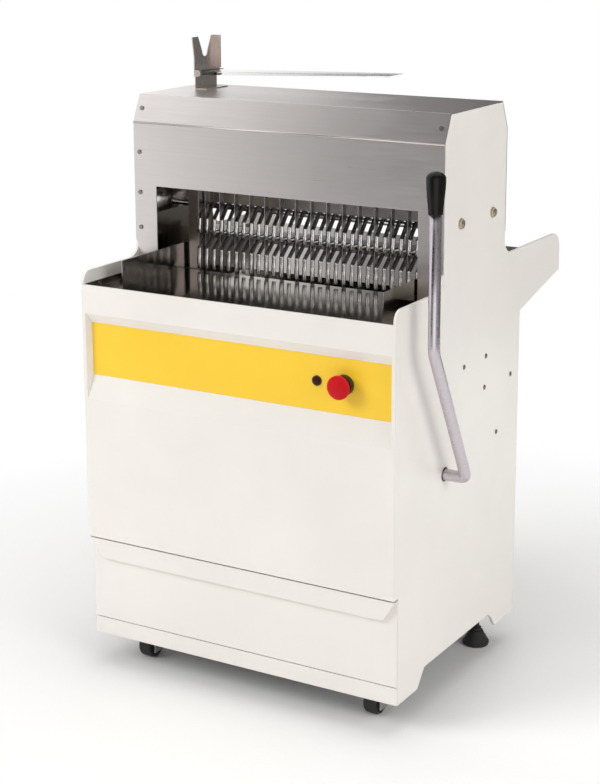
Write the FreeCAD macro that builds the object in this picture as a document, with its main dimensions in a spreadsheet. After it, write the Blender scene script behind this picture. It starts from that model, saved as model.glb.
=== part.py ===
import FreeCAD, Part
import Sketcher
import math
import os
import re

# Floor-standing bread slicer with a feed lever on its right side.
# Working frame: X across from the mid-plane, Y back from the cabinet's front, Z up from the floor.
# Every sub-part is then shifted, so that the origin lies on the floor under the machine's middle.

SIZES = {
    # cabinet
    "width": 620, "depth": 470, "panel_t": 5, "sheet_t": 2, "touch_gap": 0.3,
    "skirt_z": 56, "base_z": 87, "arch_front": 73, "arch_slope": 26, "rear_skirt": 112,
    "arch_step_y": 13, "arch_step_z": 9, "arch_end_y": 17,
    # shoulders, wing and column of the side panels
    "wing_reach": 180, "wing_drop": 19, "wing_rise": 53, "wing_slant": 44, "ear_rise": 34, "lip_rise": 11,
    "front_reach": 16, "wing_round": 30, "neck_round": 30, "tray_round": 28, "ear_round": 20,
    # hood
    "hood_t": 2, "hood_front": 150, "hood_back": 398, "hood_fold": 978, "hood_top": 1026, "hood_bevel": 22,
    "hood_lap": 9, "rear_drop": 23, "margin_wide": 47, "opening_top": 864, "margin_gap": 12,
    # front panel and control band
    "front_low": 246, "flange_t": 2, "recess_edge": 7, "recess_drop": 51.5, "recess_tall": 155,
    "recess_deep": 12, "band_gap": 5, "band_drop": 17.5, "band_tall": 95, "band_t": 1.5,
    # stop and start buttons
    "button_up": 51, "stop_in": 99, "button_gap": 52, "stop_barrel_r": 11, "start_barrel_r": 7.8,
    "start_collar_t": 2, "stop_collar_r": 17, "stop_collar_t": 10, "stop_head_r": 20, "stop_head_t": 14,
    "stop_front": 34, "stop_stem_r": 7, "stem_end": 6, "start_r": 6.2, "start_front": 8,
    "start_collar_r": 8.6, "barrel_end": 12, "block_wide": 30, "block_long": 28, "run_gap": 0.05,
    # plinth, drawer and base
    "drawer_low": 88.5, "drawer_top": 243, "lip_low": 205, "lip_reach": 13, "lip_low_in": 24,
    "lip_edge": 7, "pan_in": 17, "pan_low": 94, "pan_top": 200, "pan_back": 310, "pan_t": 1.5,
    "pan_flange": 12, "runner_gap": 3, "runner_short": 40, "runner_tall": 12, "base_t": 3, "base_gap": 3,
    "vent_half": 90, "vent_low": 180, "vent_pitch": 22, "vent_tall": 8, "vent_count": 6,
    "gland_in_x": 105, "gland_z": 140, "gland_r": 11, "gland_nut_r": 16.5, "gland_bore_r": 5,
    "gland_out": 18, "gland_in": 8,
    # castors and levelling feet
    "castor_in": 70, "castor_y": 64, "castor_r": 25, "castor_wide": 27, "castor_bore_r": 4,
    "fork_t": 3, "fork_gap": 1, "fork_half": 13, "fork_low": 12, "fork_plate": 34,
    "foot_in": 43, "foot_back": 58, "foot_r": 25, "foot_neck_r": 13, "foot_tall": 28, "foot_rim": 6,
    "stem_r": 6, "stem_top": 118, "foot_nut_r": 11, "foot_nut_t": 8,
    # outfeed tray, infeed table and side guides
    "table_z": 700, "tray_front": 8, "tray_back": 230, "hem_t": 5.5, "hem_tall": 9.5, "tray_rim": 12,
    "table_front": 284, "table_in": 45, "table_edge": 4, "table_rise": 15,
    "table_wide": 86, "table_rib": 38, "guide_front": 35, "guide_tall": 49,
    "tray_screw_y": 29, "tray_screw_up": 6,
    # blades and their frames
    "pitch": 16, "blade_edge": 5, "blade_t": 1, "frame_t": 12, "front_frame_y": 236, "rear_frame_y": 262,
    "post_gap": 53, "post_wide": 22, "frame_bar": 30, "frame_low": 600, "frame_top": 980, "post_low": 540,
    "lug_t": 8, "front_rod_in": 44, "rear_rod_in": 40, "lug_low": 526, "pin_z": 540, "pin_r": 6,
    # guides of the frames
    "guide_lap": 6, "pillar_gap": 19, "pillar_low_y": 228, "pillar_high_y": 282, "pillar_top": 590,
    "slot_bottom": 520, "upper_low": 930, "upper_top": 962,
    # drive
    "deck_y": 190, "deck_z": 360, "deck_t": 6, "crank_y": 255, "crank_z": 430, "crank_r": 10, "throw": 10,
    "disc_r": 22, "rod_ring_r": 30, "rod_t": 8, "rod_lead": 4, "rod_wide": 20, "eye_r": 33, "eye_bore_r": 27,
    "bearing_in": 46, "bearing_t": 20, "bearing_half": 25, "bearing_up": 25, "crank_in": 18,
    "pulley_x": 50, "pulley_t": 18, "big_pulley_r": 40, "small_pulley_r": 20, "belt_t": 6, "belt_edge": 2,
    "motor_back": 70, "motor_r": 50, "motor_near": 80, "motor_far": 240, "motor_shaft_r": 8, "motor_foot": 35,
    "motor_foot_low": 100, "motor_foot_far": 220, "shaft_in": 50,
    # feed lever
    "pivot_y": 168, "pivot_z": 412, "shaft_r": 10, "lever_off": 40, "bar_r": 10, "bend_y": 38, "bend_z": 659,
    "grip_low": 883, "grip_top": 952, "grip_low_r": 11.8, "grip_r": 16, "grip_dome": 10, "grip_crown_r": 8,
    "bush_r": 12.5, "bush_rim": 5, "hub_t": 14, "shaft_end": 2,
    "bush_gap": 1, "arm_t": 8, "arm_foot": 15, "arm_tip": 11, "arm_y": 68, "arm_z": 639, "arm_eye_r": 18,
    "drive_pin_r": 9, "drive_pin_long": 15,
    # pusher
    "rod_in": 36, "rod_drop": 20, "guide_rod_r": 6, "rod_front": 20, "rod_short": 75, "bracket_t": 15,
    "bracket_lap": 7, "bracket_half": 12, "yoke_lap": 1, "carriage_y": 290, "carriage_back": 330,
    "carriage_drop": 12, "beam_up": 50, "beam_tall": 17, "finger_wide": 8, "finger_y": 226, "finger_gap": 4,
    "finger_t": 3, "finger_knee": 42, "finger_bend_y": 258, "rail_past": 5, "rail_t": 6, "rail_tall": 8,
    "yoke_gap": 10, "yoke_t": 4, "yoke_front": 47, "yoke_low": 612, "yoke_bar": 12, "yoke_wide": 42,
    "slot_play": 1.5, "slot_low_z": 622, "slot_top_z": 678,
    # hold-down comb
    "comb_y": 215, "comb_back_y": 342, "comb_up": 137, "comb_bar_y": 255, "comb_bar_drop": 19, "comb_r": 5,
    "comb_plate_t": 6, "comb_plate_edge": 12, "hook_wide": 8, "hook_t": 2, "hook_y": 228, "hook_knee": 97,
    "hook_low": 70,
    "bolt_r": 4, "bolt_head_r": 8, "bolt_head_t": 5, "washer_r": 12, "washer_t": 1.5,
    # small screws
    "screw_r": 2.5, "screw_head_r": 4.5, "screw_head_t": 2, "screw_in": 10,
    "brace_short": 20, "brace_low": 415, "brace_top": 604, "back_screw_in": 16, "low_screw_in": 74,
    "hood_screw_edge": 12, "margin_screw_1": 924, "margin_screw_2": 851, "margin_screw_3": 787,
    "bevel_screw_z": 1002, "hood_screw_r": 4, "hood_screw_t": 1.6,
    # bag holder on the hood
    "bag_in": 47, "bag_front": 280, "bag_back": 350, "bag_base": 26, "bag_t": 2, "riser_tall": 35,
    "hinge_up": 29, "hinge_r": 3, "hinge_past": 14, "knuckle_r": 6, "knuckle_t": 6, "sleeve_r": 3.7,
    "fork_tall": 95, "fork_flare": 6, "fork_lap": 12, "notch_deep": 37, "fork_notch_r": 9, "notch_wide": 44,
    "fork_return": 12,
    "flap_long": 393, "flap_t": 2, "flap_rise": 14,
}

# Places that follow from the sizes above.
PLACES = {
    "inner": "width/2 - panel_t",
    "outer": "width/2",
    "arch_back": "depth - rear_skirt",
    "wing_y": "depth + wing_reach",
    "wing_low": "table_z - wing_drop",
    "wing_top": "table_z + wing_rise",
    "back_top": "wing_low - wing_slant",
    "tray_side": "table_z + ear_rise",
    "front_top": "table_z + lip_rise",
    "hood_skirt": "wing_top + hood_lap",
    "margin_low": "table_z + margin_gap",
    "opening_half": "outer - margin_wide",
    "recess_half": "outer - recess_edge",
    "band_half": "recess_half - band_gap",
    "recess_top": "front_top - recess_drop",
    "recess_low": "recess_top - recess_tall",
    "band_top": "recess_top - band_drop",
    "band_low": "band_top - band_tall",
    "button_z": "band_low + button_up",
    "stop_x": "outer - stop_in",
    "start_x": "stop_x - button_gap",
    "lip_low_half": "outer - lip_low_in",
    "pan_half": "inner - pan_in",
    "runner_in": "pan_half + runner_gap",
    "runner_back": "depth - runner_short",
    "gland_x": "inner - gland_in_x",
    "castor_x": "inner - castor_in",
    "foot_x": "inner - foot_in",
    "foot_y": "depth - foot_back",
    "table_half": "inner - table_in",
    "guide_half": "table_half - sheet_t",
    "table_end": "wing_y - table_edge",
    "table_wide_y": "table_end - table_wide",
    "post_out": "inner - post_gap",
    "post_in": "post_out - post_wide",
    "blade_count": "2*floor((post_in - blade_edge)/pitch)",
    "finger_count": "(blade_count + 1)",
    "first_finger": "-(finger_count - 1)/2*pitch",
    "guide_in": "post_out - guide_lap",
    "pillar_out": "inner - pillar_gap",
    "bearing_x": "guide_in - bearing_in",
    "crank_end": "guide_in - crank_in",
    "rear_lug_x": "bearing_x - rear_rod_in",
    "front_lug_x": "rear_lug_x - front_rod_in",
    "motor_y": "depth - motor_back",
    "bush_in": "inner - bush_rim",
    "arm_in": "bush_in - bush_gap - arm_t",
    "drive_pin_in": "arm_in - drive_pin_long",
    "lever_x": "outer + lever_off",
    "yoke_in": "arm_in - yoke_gap - yoke_t",
    "carriage_out": "yoke_in - yoke_lap",
    "rod_x": "inner - rod_in",
    "rod_z": "table_z - rod_drop",
    "rod_back": "wing_y - rod_short",
    "bracket_in": "rod_x - bracket_lap",
    "carriage_low": "rod_z - carriage_drop",
    "beam_low": "table_z + beam_up",
    "pusher_top": "beam_low + beam_tall",
    "finger_low": "table_z + finger_gap",
    "rail_half": "rail_past - first_finger",
    "comb_z": "table_z + comb_up",
    "comb_bar_z": "comb_z - comb_bar_drop",
    "hood_rear_low": "comb_bar_z - rear_drop",
    "brace_back": "depth - brace_short",
    "hood_screw_x": "outer - hood_screw_edge",
    "bag_x": "outer - bag_in",
    "bag_riser": "hood_top + riser_tall",
    "hinge_z": "hood_top + hinge_up",
    "fork_tip": "hood_top + fork_tall",
    "fork_notch": "fork_tip - notch_deep",
    "screw_y_back_1": "brace_back - back_screw_in",
    "screw_y_low_1": "brace_back - low_screw_in",
}

SIDE_SCREWS = ("front_1", "front_2", "front_3", "back_1", "low_1")
SIZES.update({
    "screw_y_front_1": 237, "screw_z_front_1": 584, "screw_y_front_2": 326, "screw_z_front_2": 584,
    "screw_y_front_3": 322, "screw_z_front_3": 528, "screw_z_back_1": 526, "screw_z_low_1": 432,
})
WORD = r"[a-z]\w*"
TURN = {
    "x": FreeCAD.Rotation(FreeCAD.Vector(0, 1, 0), 90),
    "y": FreeCAD.Rotation(FreeCAD.Vector(1, 0, 0), -90),
    "z": FreeCAD.Rotation(),
}
ACROSS = {"x": "yz", "y": "xz", "z": "xy"}
SIDES = (("left", -1), ("right", 1))
NEAR = 0.01

doc = FreeCAD.newDocument("bread_slicer")
sheet = doc.addObject("Spreadsheet::Sheet", "sizes")
for row, (size_name, size) in enumerate(SIZES.items(), start=1):
    sheet.set(f"A{row}", size_name)
    sheet.set(f"B{row}", str(size))
    sheet.setAlias(f"B{row}", size_name)
probe = doc.addObject("App::FeaturePython", "probe")
probe.addProperty("App::PropertyFloat", "probe_value")
doc.recompute()
nodes = []


def link(text):
    """Expression in which each place is written out, and each size name points to its cell in the sheet."""
    while set(re.findall(WORD, text)) & set(PLACES):
        text = re.sub(WORD, lambda word: f"({PLACES[word[0]]})" if word[0] in PLACES else word[0], text)
    unknown = set(re.findall(WORD, text)) - set(SIZES) - {"atan", "sqrt", "floor"}
    if unknown:
        raise KeyError(f"no size is named {unknown}")
    return re.sub(WORD, lambda word: "sizes." + word[0] if word[0] in SIZES else word[0], text)


def bind(item, place, text):
    """Tie one property of an object to the sheet."""
    item.setExpression(place, link(text))


def span(side, low, high):
    """Range along X on one side of the mid-plane, from low to high away from it."""
    return (low, high) if side > 0 else (f"-({high})", f"-({low})")


def reach(side, text):
    """Place along X on one side of the mid-plane."""
    return text if side > 0 else f"-({text})"


def block(name, x, y, z):
    """Straight block between two places along each axis."""
    item = doc.addObject("Part::Box", name)
    for side, axis, (low, high) in zip(("Length", "Width", "Height"), "xyz", (x, y, z)):
        bind(item, side, f"({high}) - ({low})")
        bind(item, "Placement.Base." + axis, low)
    return item


def disc(name, axis, radius, along, centre, top_radius=None):
    """Cylinder, or cone where a second radius is given, along one axis."""
    item = doc.addObject("Part::Cone" if top_radius else "Part::Cylinder", name)
    item.Placement = FreeCAD.Placement(FreeCAD.Vector(), TURN[axis])
    if top_radius:
        bind(item, "Radius1", radius)
        bind(item, "Radius2", top_radius)
    else:
        bind(item, "Radius", radius)
    bind(item, "Height", f"({along[1]}) - ({along[0]})")
    bind(item, "Placement.Base." + axis, along[0])
    for other, place in zip(ACROSS[axis], centre):
        bind(item, "Placement.Base." + other, place)
    return item


def hexagon(name, axis, radius, along, centre):
    """Six-sided prism along one axis, as a bolt head or nut."""
    item = doc.addObject("Part::Prism", name)
    item.Polygon = 6
    item.Placement = FreeCAD.Placement(FreeCAD.Vector(), TURN[axis])
    bind(item, "Circumradius", radius)
    bind(item, "Height", f"({along[1]}) - ({along[0]})")
    bind(item, "Placement.Base." + axis, along[0])
    for other, place in zip(ACROSS[axis], centre):
        bind(item, "Placement.Base." + other, place)
    return item


def frustum(name, near, far, y):
    """Block whose X and Z ranges change from one Y to another; each end is (x0, x1, z0, z1)."""
    item = doc.addObject("Part::Wedge", name)
    places = {
        "Ymin": y[0], "Ymax": y[1],
        "Xmin": near[0], "Xmax": near[1], "Zmin": near[2], "Zmax": near[3],
        "X2min": far[0], "X2max": far[1], "Z2min": far[2], "Z2max": far[3],
    }
    for place, text in places.items():
        bind(item, place, text)
    return item


def joined(name, items):
    """One solid from touching or overlapping pieces."""
    if len(items) == 1:
        return items[0]
    item = doc.addObject("Part::MultiFuse", name)
    item.Shapes = items
    item.Refine = True
    return item


def cut(name, base, tools):
    """Base piece less its cut-outs."""
    item = doc.addObject("Part::Cut", name)
    item.Base = base
    item.Tool = joined(name + "_cuts", tools)
    return item


def together(name, items):
    """Group of separate solids that share one node."""
    item = doc.addObject("Part::Compound", name)
    item.Links = items
    return item


def node(name, item):
    """Name a sub-part and put it in the shared frame."""
    if item.TypeId not in ("PartDesign::Body", "Part::Compound"):
        item = together(name + "_node", [item])
    item.Label = name
    bind(item, "Placement.Base.x", "-((lever_x + grip_r) - width/2)/2")
    bind(item, "Placement.Base.y", "-(wing_y - stop_front)/2")
    nodes.append(item)
    return item


def origin_part(body, role):
    """Plane or axis of a body's own origin."""
    return next(item for item in body.Origin.OriginFeatures if item.Role == role)


def outline(body, name, plane, points, offset):
    """Closed outline sketch on one of the body's planes, each corner tied to the sheet."""
    sketch = body.newObject("Sketcher::SketchObject", name)
    sketch.AttachmentSupport = (origin_part(body, plane), [""])
    sketch.MapMode = "FlatFace"
    bind(sketch, "AttachmentOffset.Base.z", offset)
    add_loop(sketch, points)
    return sketch


def add_loop(sketch, points):
    """Closed chain of lines whose corners are tied to the sheet."""
    first = sketch.GeometryCount
    count = len(points)
    rough = [FreeCAD.Vector(number(across), number(up), 0) for across, up in points]
    for index in range(count):
        sketch.addGeometry(Part.LineSegment(rough[index], rough[(index + 1) % count]), False)
    for index in range(count):
        following = first + (index + 1) % count
        sketch.addConstraint(Sketcher.Constraint("Coincident", first + index, 2, following, 1))
    for index, (across, up) in enumerate(points):
        for kind, text, place in (("DistanceX", across, rough[index].x), ("DistanceY", up, rough[index].y)):
            tie = sketch.addConstraint(Sketcher.Constraint(kind, -1, 1, first + index, 1, place))
            bind(sketch, f"Constraints[{tie}]", text)


def number(text):
    """Value of an expression at the sheet's present sizes."""
    bind(probe, "probe_value", text)
    probe.touch()
    doc.recompute([probe])
    return probe.probe_value


def padded(body, sketch, length):
    """Pad an outline by a length away from its plane."""
    pad = body.newObject("PartDesign::Pad", sketch.Name + "_pad")
    pad.Profile = sketch
    bind(pad, "Length", length)
    sketch.Visibility = False
    return pad


def plate(name, plane, points, start, length):
    """Body of one padded outline."""
    body = doc.addObject("PartDesign::Body", name)
    padded(body, outline(body, name + "_outline", plane, points, start), length)
    return body


def rounded(body, corners):
    """Round the edges along X that pass through given corners (y, z) of a YZ plate."""
    for across, up, radius in corners:
        doc.recompute()
        here = FreeCAD.Vector(0, number(across), number(up))
        names = []
        for index, edge in enumerate(body.Shape.Edges, start=1):
            ends = [FreeCAD.Vector(0, vertex.Y, vertex.Z) for vertex in edge.Vertexes]
            if len(ends) == 2 and all(end.distanceToPoint(here) < NEAR for end in ends):
                names.append(f"Edge{index}")
        base = body.Tip
        fillet = body.newObject("PartDesign::Fillet", f"{body.Name}_round_{len(body.Group)}")
        fillet.Base = (base, names)
        bind(fillet, "Radius", radius)
        body.Tip = fillet
    doc.recompute()


def side_panels():
    """Two flat side panels with their shoulders, wing and column, bored for what passes through."""
    points = [
        ("0", "skirt_z"), ("arch_front", "skirt_z"), ("arch_front + arch_slope", "base_z"),
        ("arch_back", "base_z"), ("arch_back + arch_step_y", "base_z - arch_step_z"),
        ("arch_back + arch_step_y + arch_end_y", "skirt_z"), ("depth", "skirt_z"), ("depth", "back_top"),
        ("wing_y", "wing_low"), ("wing_y", "wing_top"), ("hood_back - hood_t", "wing_top"),
        ("hood_back - hood_t", "hood_fold"), ("hood_back - hood_bevel - hood_t/2", "hood_top - hood_t"),
        ("hood_front + hood_bevel + hood_t/2", "hood_top - hood_t"), ("hood_front + hood_t", "hood_fold"),
        ("hood_front + hood_t", "tray_side"), ("-front_reach", "tray_side"), ("-front_reach", "front_top"),
        ("0", "front_top"),
    ]
    corners = [
        ("wing_y", "wing_top", "wing_round"), ("hood_back - hood_t", "wing_top", "neck_round"),
        ("hood_front + hood_t", "tray_side", "tray_round"), ("-front_reach", "tray_side", "ear_round"),
    ]
    for word, side in SIDES:
        low, high = span(side, "inner", "outer")
        body = plate(f"panel_{word}", "YZ_Plane", points, low, "panel_t")
        rounded(body, corners)
        bores = [disc(f"bush_hole_{word}", "x", "bush_r", (low, high), ("pivot_y", "pivot_z"))]
        for index, y in enumerate(("comb_y", "comb_back_y")):
            bores.append(disc(f"bolt_hole_{word}_{index}", "x", "bolt_r", (low, high), (y, "comb_z")))
        for name in SIDE_SCREWS:
            place = ("screw_y_" + name, "screw_z_" + name)
            bores.append(disc(f"screw_hole_{word}_{name}", "x", "screw_r", (low, high), place))
        node(f"side_panel_{word}", cut(f"side_panel_{word}_bored", body, bores))


def front_panel():
    """Sheet panel with turned side flanges and a bevelled recess that holds the control band."""
    skin = "flange_t - front_reach"
    back = "recess_deep - front_reach"
    floor = f"{back} + band_t"
    face = block("front_skin", ("-outer", "outer"), ("-front_reach", skin), ("front_low", "front_top"))
    pieces = [face]
    for word, side in SIDES:
        wide = span(side, "outer - flange_t", "outer")
        pieces.append(block(f"front_flange_{word}", wide, (skin, "0"), ("front_low", "front_top")))
    shell_near = ("-recess_half - flange_t", "recess_half + flange_t", "recess_low - flange_t",
                  "recess_top + flange_t")
    shell_far = ("-band_half - flange_t", "band_half + flange_t", "band_low - flange_t",
                 "band_top + flange_t")
    near = ("-recess_half", "recess_half", "recess_low", "recess_top")
    far = ("-band_half", "band_half", "band_low", "band_top")
    pieces.append(frustum("recess_shell", shell_near, shell_far, (skin, f"{floor} + flange_t")))
    hollow = [
        frustum("recess_hollow", near, far, ("-front_reach", back)),
        block("recess_seat", far[:2], (back, floor), far[2:]),
    ]
    for name, x in (("stop", "stop_x"), ("start", "start_x")):
        radius = f"{name}_barrel_r"
        hollow.append(disc(f"panel_{name}_hole", "y", radius, (back, "flange_t"), (x, "button_z")))
    node("front_panel", cut("front_panel_sheet", joined("front_panel_solid", pieces), hollow))
    band = block("band_sheet", far[:2], (back, floor), far[2:])
    holes = [
        disc(f"band_{name}_hole", "y", f"{name}_barrel_r", (back, floor), (x, "button_z"))
        for name, x in (("stop", "stop_x"), ("start", "start_x"))
    ]
    node("control_band", cut("band_bored", band, holes))


def buttons():
    """Stop and start buttons, each in its collar, with the switch block behind."""
    face = "recess_deep - front_reach"
    blocks = []
    kinds = (
        ("stop", "stop_x", "stop_collar_r", "stop_collar_t", "stop_stem_r"),
        ("start", "start_x", "start_collar_r", "start_collar_t", "start_r"),
    )
    for name, x, collar_r, collar_t, stem_r in kinds:
        centre = (x, "button_z")
        flange = disc(f"{name}_flange", "y", collar_r, (f"{face} - {collar_t}", face), centre)
        barrel = disc(f"{name}_barrel", "y", f"{name}_barrel_r", (face, "barrel_end"), centre)
        through = (f"{face} - {collar_t}", "barrel_end")
        bore = disc(f"{name}_bore", "y", f"{stem_r} + run_gap", through, centre)
        collar = joined(f"{name}_collar_solid", [flange, barrel])
        node(f"{name}_collar", cut(f"{name}_collar_bored", collar, [bore]))
        wide = (f"{x} - block_wide/2", f"{x} + block_wide/2")
        tall = ("button_z - block_wide/2", "button_z + block_wide/2")
        blocks.append(block(f"{name}_switch", wide, ("barrel_end", "barrel_end + block_long"), tall))
    node("switch_blocks", together("switch_block_pair", blocks))
    centre = ("stop_x", "button_z")
    head = disc("stop_head", "y", "stop_head_r", ("-stop_front", "stop_head_t - stop_front"), centre)
    stem = disc("stop_stem", "y", "stop_stem_r", ("stop_head_t - stop_front", "stem_end"), centre)
    node("stop_button", joined("stop_button_solid", [head, stem]))
    start = disc("start_body", "y", "start_r", ("-start_front", "stem_end"), ("start_x", "button_z"))
    node("start_button", start)


def plinth_and_base():
    """Plinth strip, base plate and vented back sheet that follows the wing's underside."""
    strip = ("-outer", "outer")
    node("plinth_panel", block("plinth_sheet", strip, ("-sheet_t", "0"), ("skirt_z", "base_z")))
    side = ("-inner", "inner")
    base = block("base_sheet", side, ("base_gap", "depth - sheet_t"), ("base_z", "base_z + base_t"))
    holes = [
        disc(f"stem_hole_{word}", "z", "stem_r + touch_gap", ("base_z", "base_z + base_t"),
             (reach(way, "foot_x"), "foot_y"))
        for word, way in SIDES
    ]
    node("base_plate", cut("base_bored", base, holes))
    points = [
        ("depth - sheet_t", "skirt_z"), ("depth", "skirt_z"), ("depth", "back_top"), ("wing_y", "wing_low"),
        ("wing_y", "wing_low + sheet_t"), ("depth - sheet_t", "back_top + sheet_t"),
    ]
    back = plate("back_sheet", "YZ_Plane", points, "-inner", "width - 2*panel_t")
    openings = []
    through = ("depth - sheet_t", "depth")
    for index in range(SIZES["vent_count"]):
        low = f"vent_low + {index}*vent_pitch"
        tall = (low, f"{low} + vent_tall")
        openings.append(block(f"vent_{index}", ("-vent_half", "vent_half"), through, tall))
    openings.append(disc("gland_hole", "y", "gland_r", through, ("gland_x", "gland_z")))
    node("back_panel", cut("back_vented", back, openings))
    centre = ("gland_x", "gland_z")
    long = ("depth - sheet_t - gland_in", "depth + gland_out")
    barrel = disc("gland_barrel", "y", "gland_r", long, centre)
    collar = hexagon("gland_nut", "y", "gland_nut_r", ("depth", "depth + gland_in"), centre)
    bore = disc("gland_bore", "y", "gland_bore_r", long, centre)
    node("cable_gland", cut("gland_bored", joined("gland_solid", [barrel, collar]), [bore]))


def drawer():
    """Crumb drawer: full-width front with its hipped pull lip, the pan behind it, and the fixed runners."""
    face = "-touch_gap - sheet_t"
    back = "-touch_gap"
    sheet_part = block("drawer_sheet", ("-outer", "outer"), (face, back), ("drawer_low", "drawer_top"))
    low_end = ("-lip_low_half", "lip_low_half", f"-({face})", f"lip_edge - ({face})")
    top_end = ("-outer", "outer", f"-({face})", "lip_reach")
    lip = frustum("drawer_lip", low_end, top_end, ("lip_low", "drawer_top"))
    lip.Placement = FreeCAD.Placement(FreeCAD.Vector(), FreeCAD.Rotation(FreeCAD.Vector(1, 0, 0), 90))
    node("drawer_front", joined("drawer_front_solid", [sheet_part, lip]))
    wide = ("-pan_half", "pan_half")
    shell = block("pan_shell", wide, (back, "pan_back"), ("pan_low", "pan_top"))
    flange = block("pan_rim", ("-pan_half - pan_flange", "pan_half + pan_flange"), (back, "pan_back"),
                   ("pan_top - pan_t", "pan_top"))
    inside = ("pan_t - pan_half", "pan_half - pan_t")
    hollow = block("pan_hollow", inside, (f"{back} + pan_t", "pan_back - pan_t"),
                   ("pan_low + pan_t", "pan_top"))
    node("drawer_pan", cut("pan_cut", joined("pan_solid", [shell, flange]), [hollow]))
    runners = []
    top = "pan_top - pan_t - touch_gap"
    for word, side in SIDES:
        wide = span(side, "runner_in", "inner")
        runners.append(block(f"runner_{word}", wide, ("base_gap", "runner_back"),
                             (f"{top} - runner_tall", top)))
    node("drawer_runners", together("runner_pair", runners))


def castors_and_feet():
    """Fixed castors under the front and turning levelling feet under the back."""
    forks = []
    nuts = []
    half = "castor_wide/2 + fork_gap"
    for word, side in SIDES:
        middle = reach(side, "castor_x")
        centre = ("castor_y", "castor_r")
        deep = ("castor_y - fork_half", "castor_y + fork_half")
        pieces = [
            block(f"fork_plate_{word}", (f"{middle} - fork_plate", f"{middle} + fork_plate"),
                  ("castor_y - fork_plate", "castor_y + fork_plate"), ("base_z - fork_t", "base_z")),
            disc(f"fork_axle_{word}", "x", "castor_bore_r",
                 (f"{middle} - ({half}) - fork_t", f"{middle} + {half} + fork_t"), centre),
        ]
        for end, leg in (("a", (f"{middle} - ({half}) - fork_t", f"{middle} - ({half})")),
                         ("b", (f"{middle} + {half}", f"{middle} + {half} + fork_t"))):
            pieces.append(block(f"fork_leg_{word}_{end}", leg, deep, ("fork_low", "base_z")))
        forks.append(joined(f"fork_{word}", pieces))
        width = (f"{middle} - castor_wide/2", f"{middle} + castor_wide/2")
        tyre = disc(f"tyre_{word}", "x", "castor_r", width, centre)
        bore = disc(f"wheel_bore_{word}", "x", "castor_bore_r + run_gap", width, centre)
        node(f"castor_wheel_{word}", cut(f"wheel_{word}", tyre, [bore]))
        centre = (reach(side, "foot_x"), "foot_y")
        foot = [
            disc(f"foot_rim_{word}", "z", "foot_r", ("0", "foot_rim"), centre),
            disc(f"foot_bell_{word}", "z", "foot_r", ("foot_rim", "foot_tall"), centre, "foot_neck_r"),
            disc(f"foot_stem_{word}", "z", "stem_r", ("foot_tall", "stem_top"), centre),
        ]
        node(f"foot_{word}", joined(f"foot_{word}_solid", foot))
        tall = ("base_z - foot_nut_t", "base_z")
        nut = hexagon(f"nut_{word}", "z", "foot_nut_r", tall, centre)
        bore = disc(f"nut_bore_{word}", "z", "stem_r + run_gap", tall, centre)
        nuts.append(cut(f"nut_{word}_bored", nut, [bore]))
    node("castor_forks", together("fork_pair", forks))
    node("foot_nuts", together("nut_pair", nuts))


def hood():
    """Bent sheet hood over the column's edges: it is open at the front for the sliced loaf, and at the
    back it comes down to just below the bar of the hold-down comb."""
    points = [
        ("hood_front", "hood_skirt"), ("hood_front", "hood_fold"), ("hood_front + hood_bevel", "hood_top"),
        ("hood_back - hood_bevel", "hood_top"), ("hood_back", "hood_fold"), ("hood_back", "hood_rear_low"),
        ("hood_back - hood_t", "hood_rear_low"), ("hood_back - hood_t", "hood_fold"),
        ("hood_back - hood_bevel - hood_t/2", "hood_top - hood_t"),
        ("hood_front + hood_bevel + hood_t/2", "hood_top - hood_t"), ("hood_front + hood_t", "hood_fold"),
        ("hood_front + hood_t", "hood_skirt"),
    ]
    pieces = [plate("hood_sheet", "YZ_Plane", points, "-outer", "width")]
    thick = ("hood_front", "hood_front + hood_t")
    for word, side in SIDES:
        pieces.append(block(f"hood_margin_{word}", span(side, "opening_half", "inner"), thick,
                            ("margin_low", "hood_skirt")))
    mouth = block("hood_mouth", ("-opening_half", "opening_half"), thick, ("hood_skirt", "opening_top"))
    node("hood_shell", cut("hood_cut", joined("hood_solid", pieces), [mouth]))
    face = ("hood_front - hood_screw_t", "hood_front")
    screws = [
        disc(f"hood_screw_{z}", "y", "hood_screw_r", face, ("-hood_screw_x", z))
        for z in ("margin_screw_1", "margin_screw_2", "margin_screw_3")
    ]
    for word, side in SIDES:
        screws.append(bevel_screw(word, side))
        wide = span(side, "inner - sheet_t - screw_head_t", "inner - sheet_t")
        centre = ("tray_screw_y", "table_z + tray_screw_up")
        screws.append(disc(f"tray_screw_{word}", "x", "screw_r + touch_gap", wide, centre))
    node("cover_screws", together("cover_screw_set", screws))


def bevel_screw(word, side):
    """Screw head that stands square on the hood's sloping front edge."""
    item = doc.addObject("Part::Cylinder", f"bevel_screw_{word}")
    item.Placement = FreeCAD.Placement(FreeCAD.Vector(), FreeCAD.Rotation(FreeCAD.Vector(1, 0, 0), 60))
    bind(item, "Radius", "hood_screw_r")
    bind(item, "Height", "hood_screw_t")
    bind(item, "Placement.Rotation.Angle", "atan((hood_top - hood_fold)/hood_bevel)")
    bind(item, "Placement.Base.x", reach(side, "hood_screw_x"))
    bind(item, "Placement.Base.y",
         "hood_front + (bevel_screw_z - hood_fold)*hood_bevel/(hood_top - hood_fold)")
    bind(item, "Placement.Base.z", "bevel_screw_z")
    return item


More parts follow.
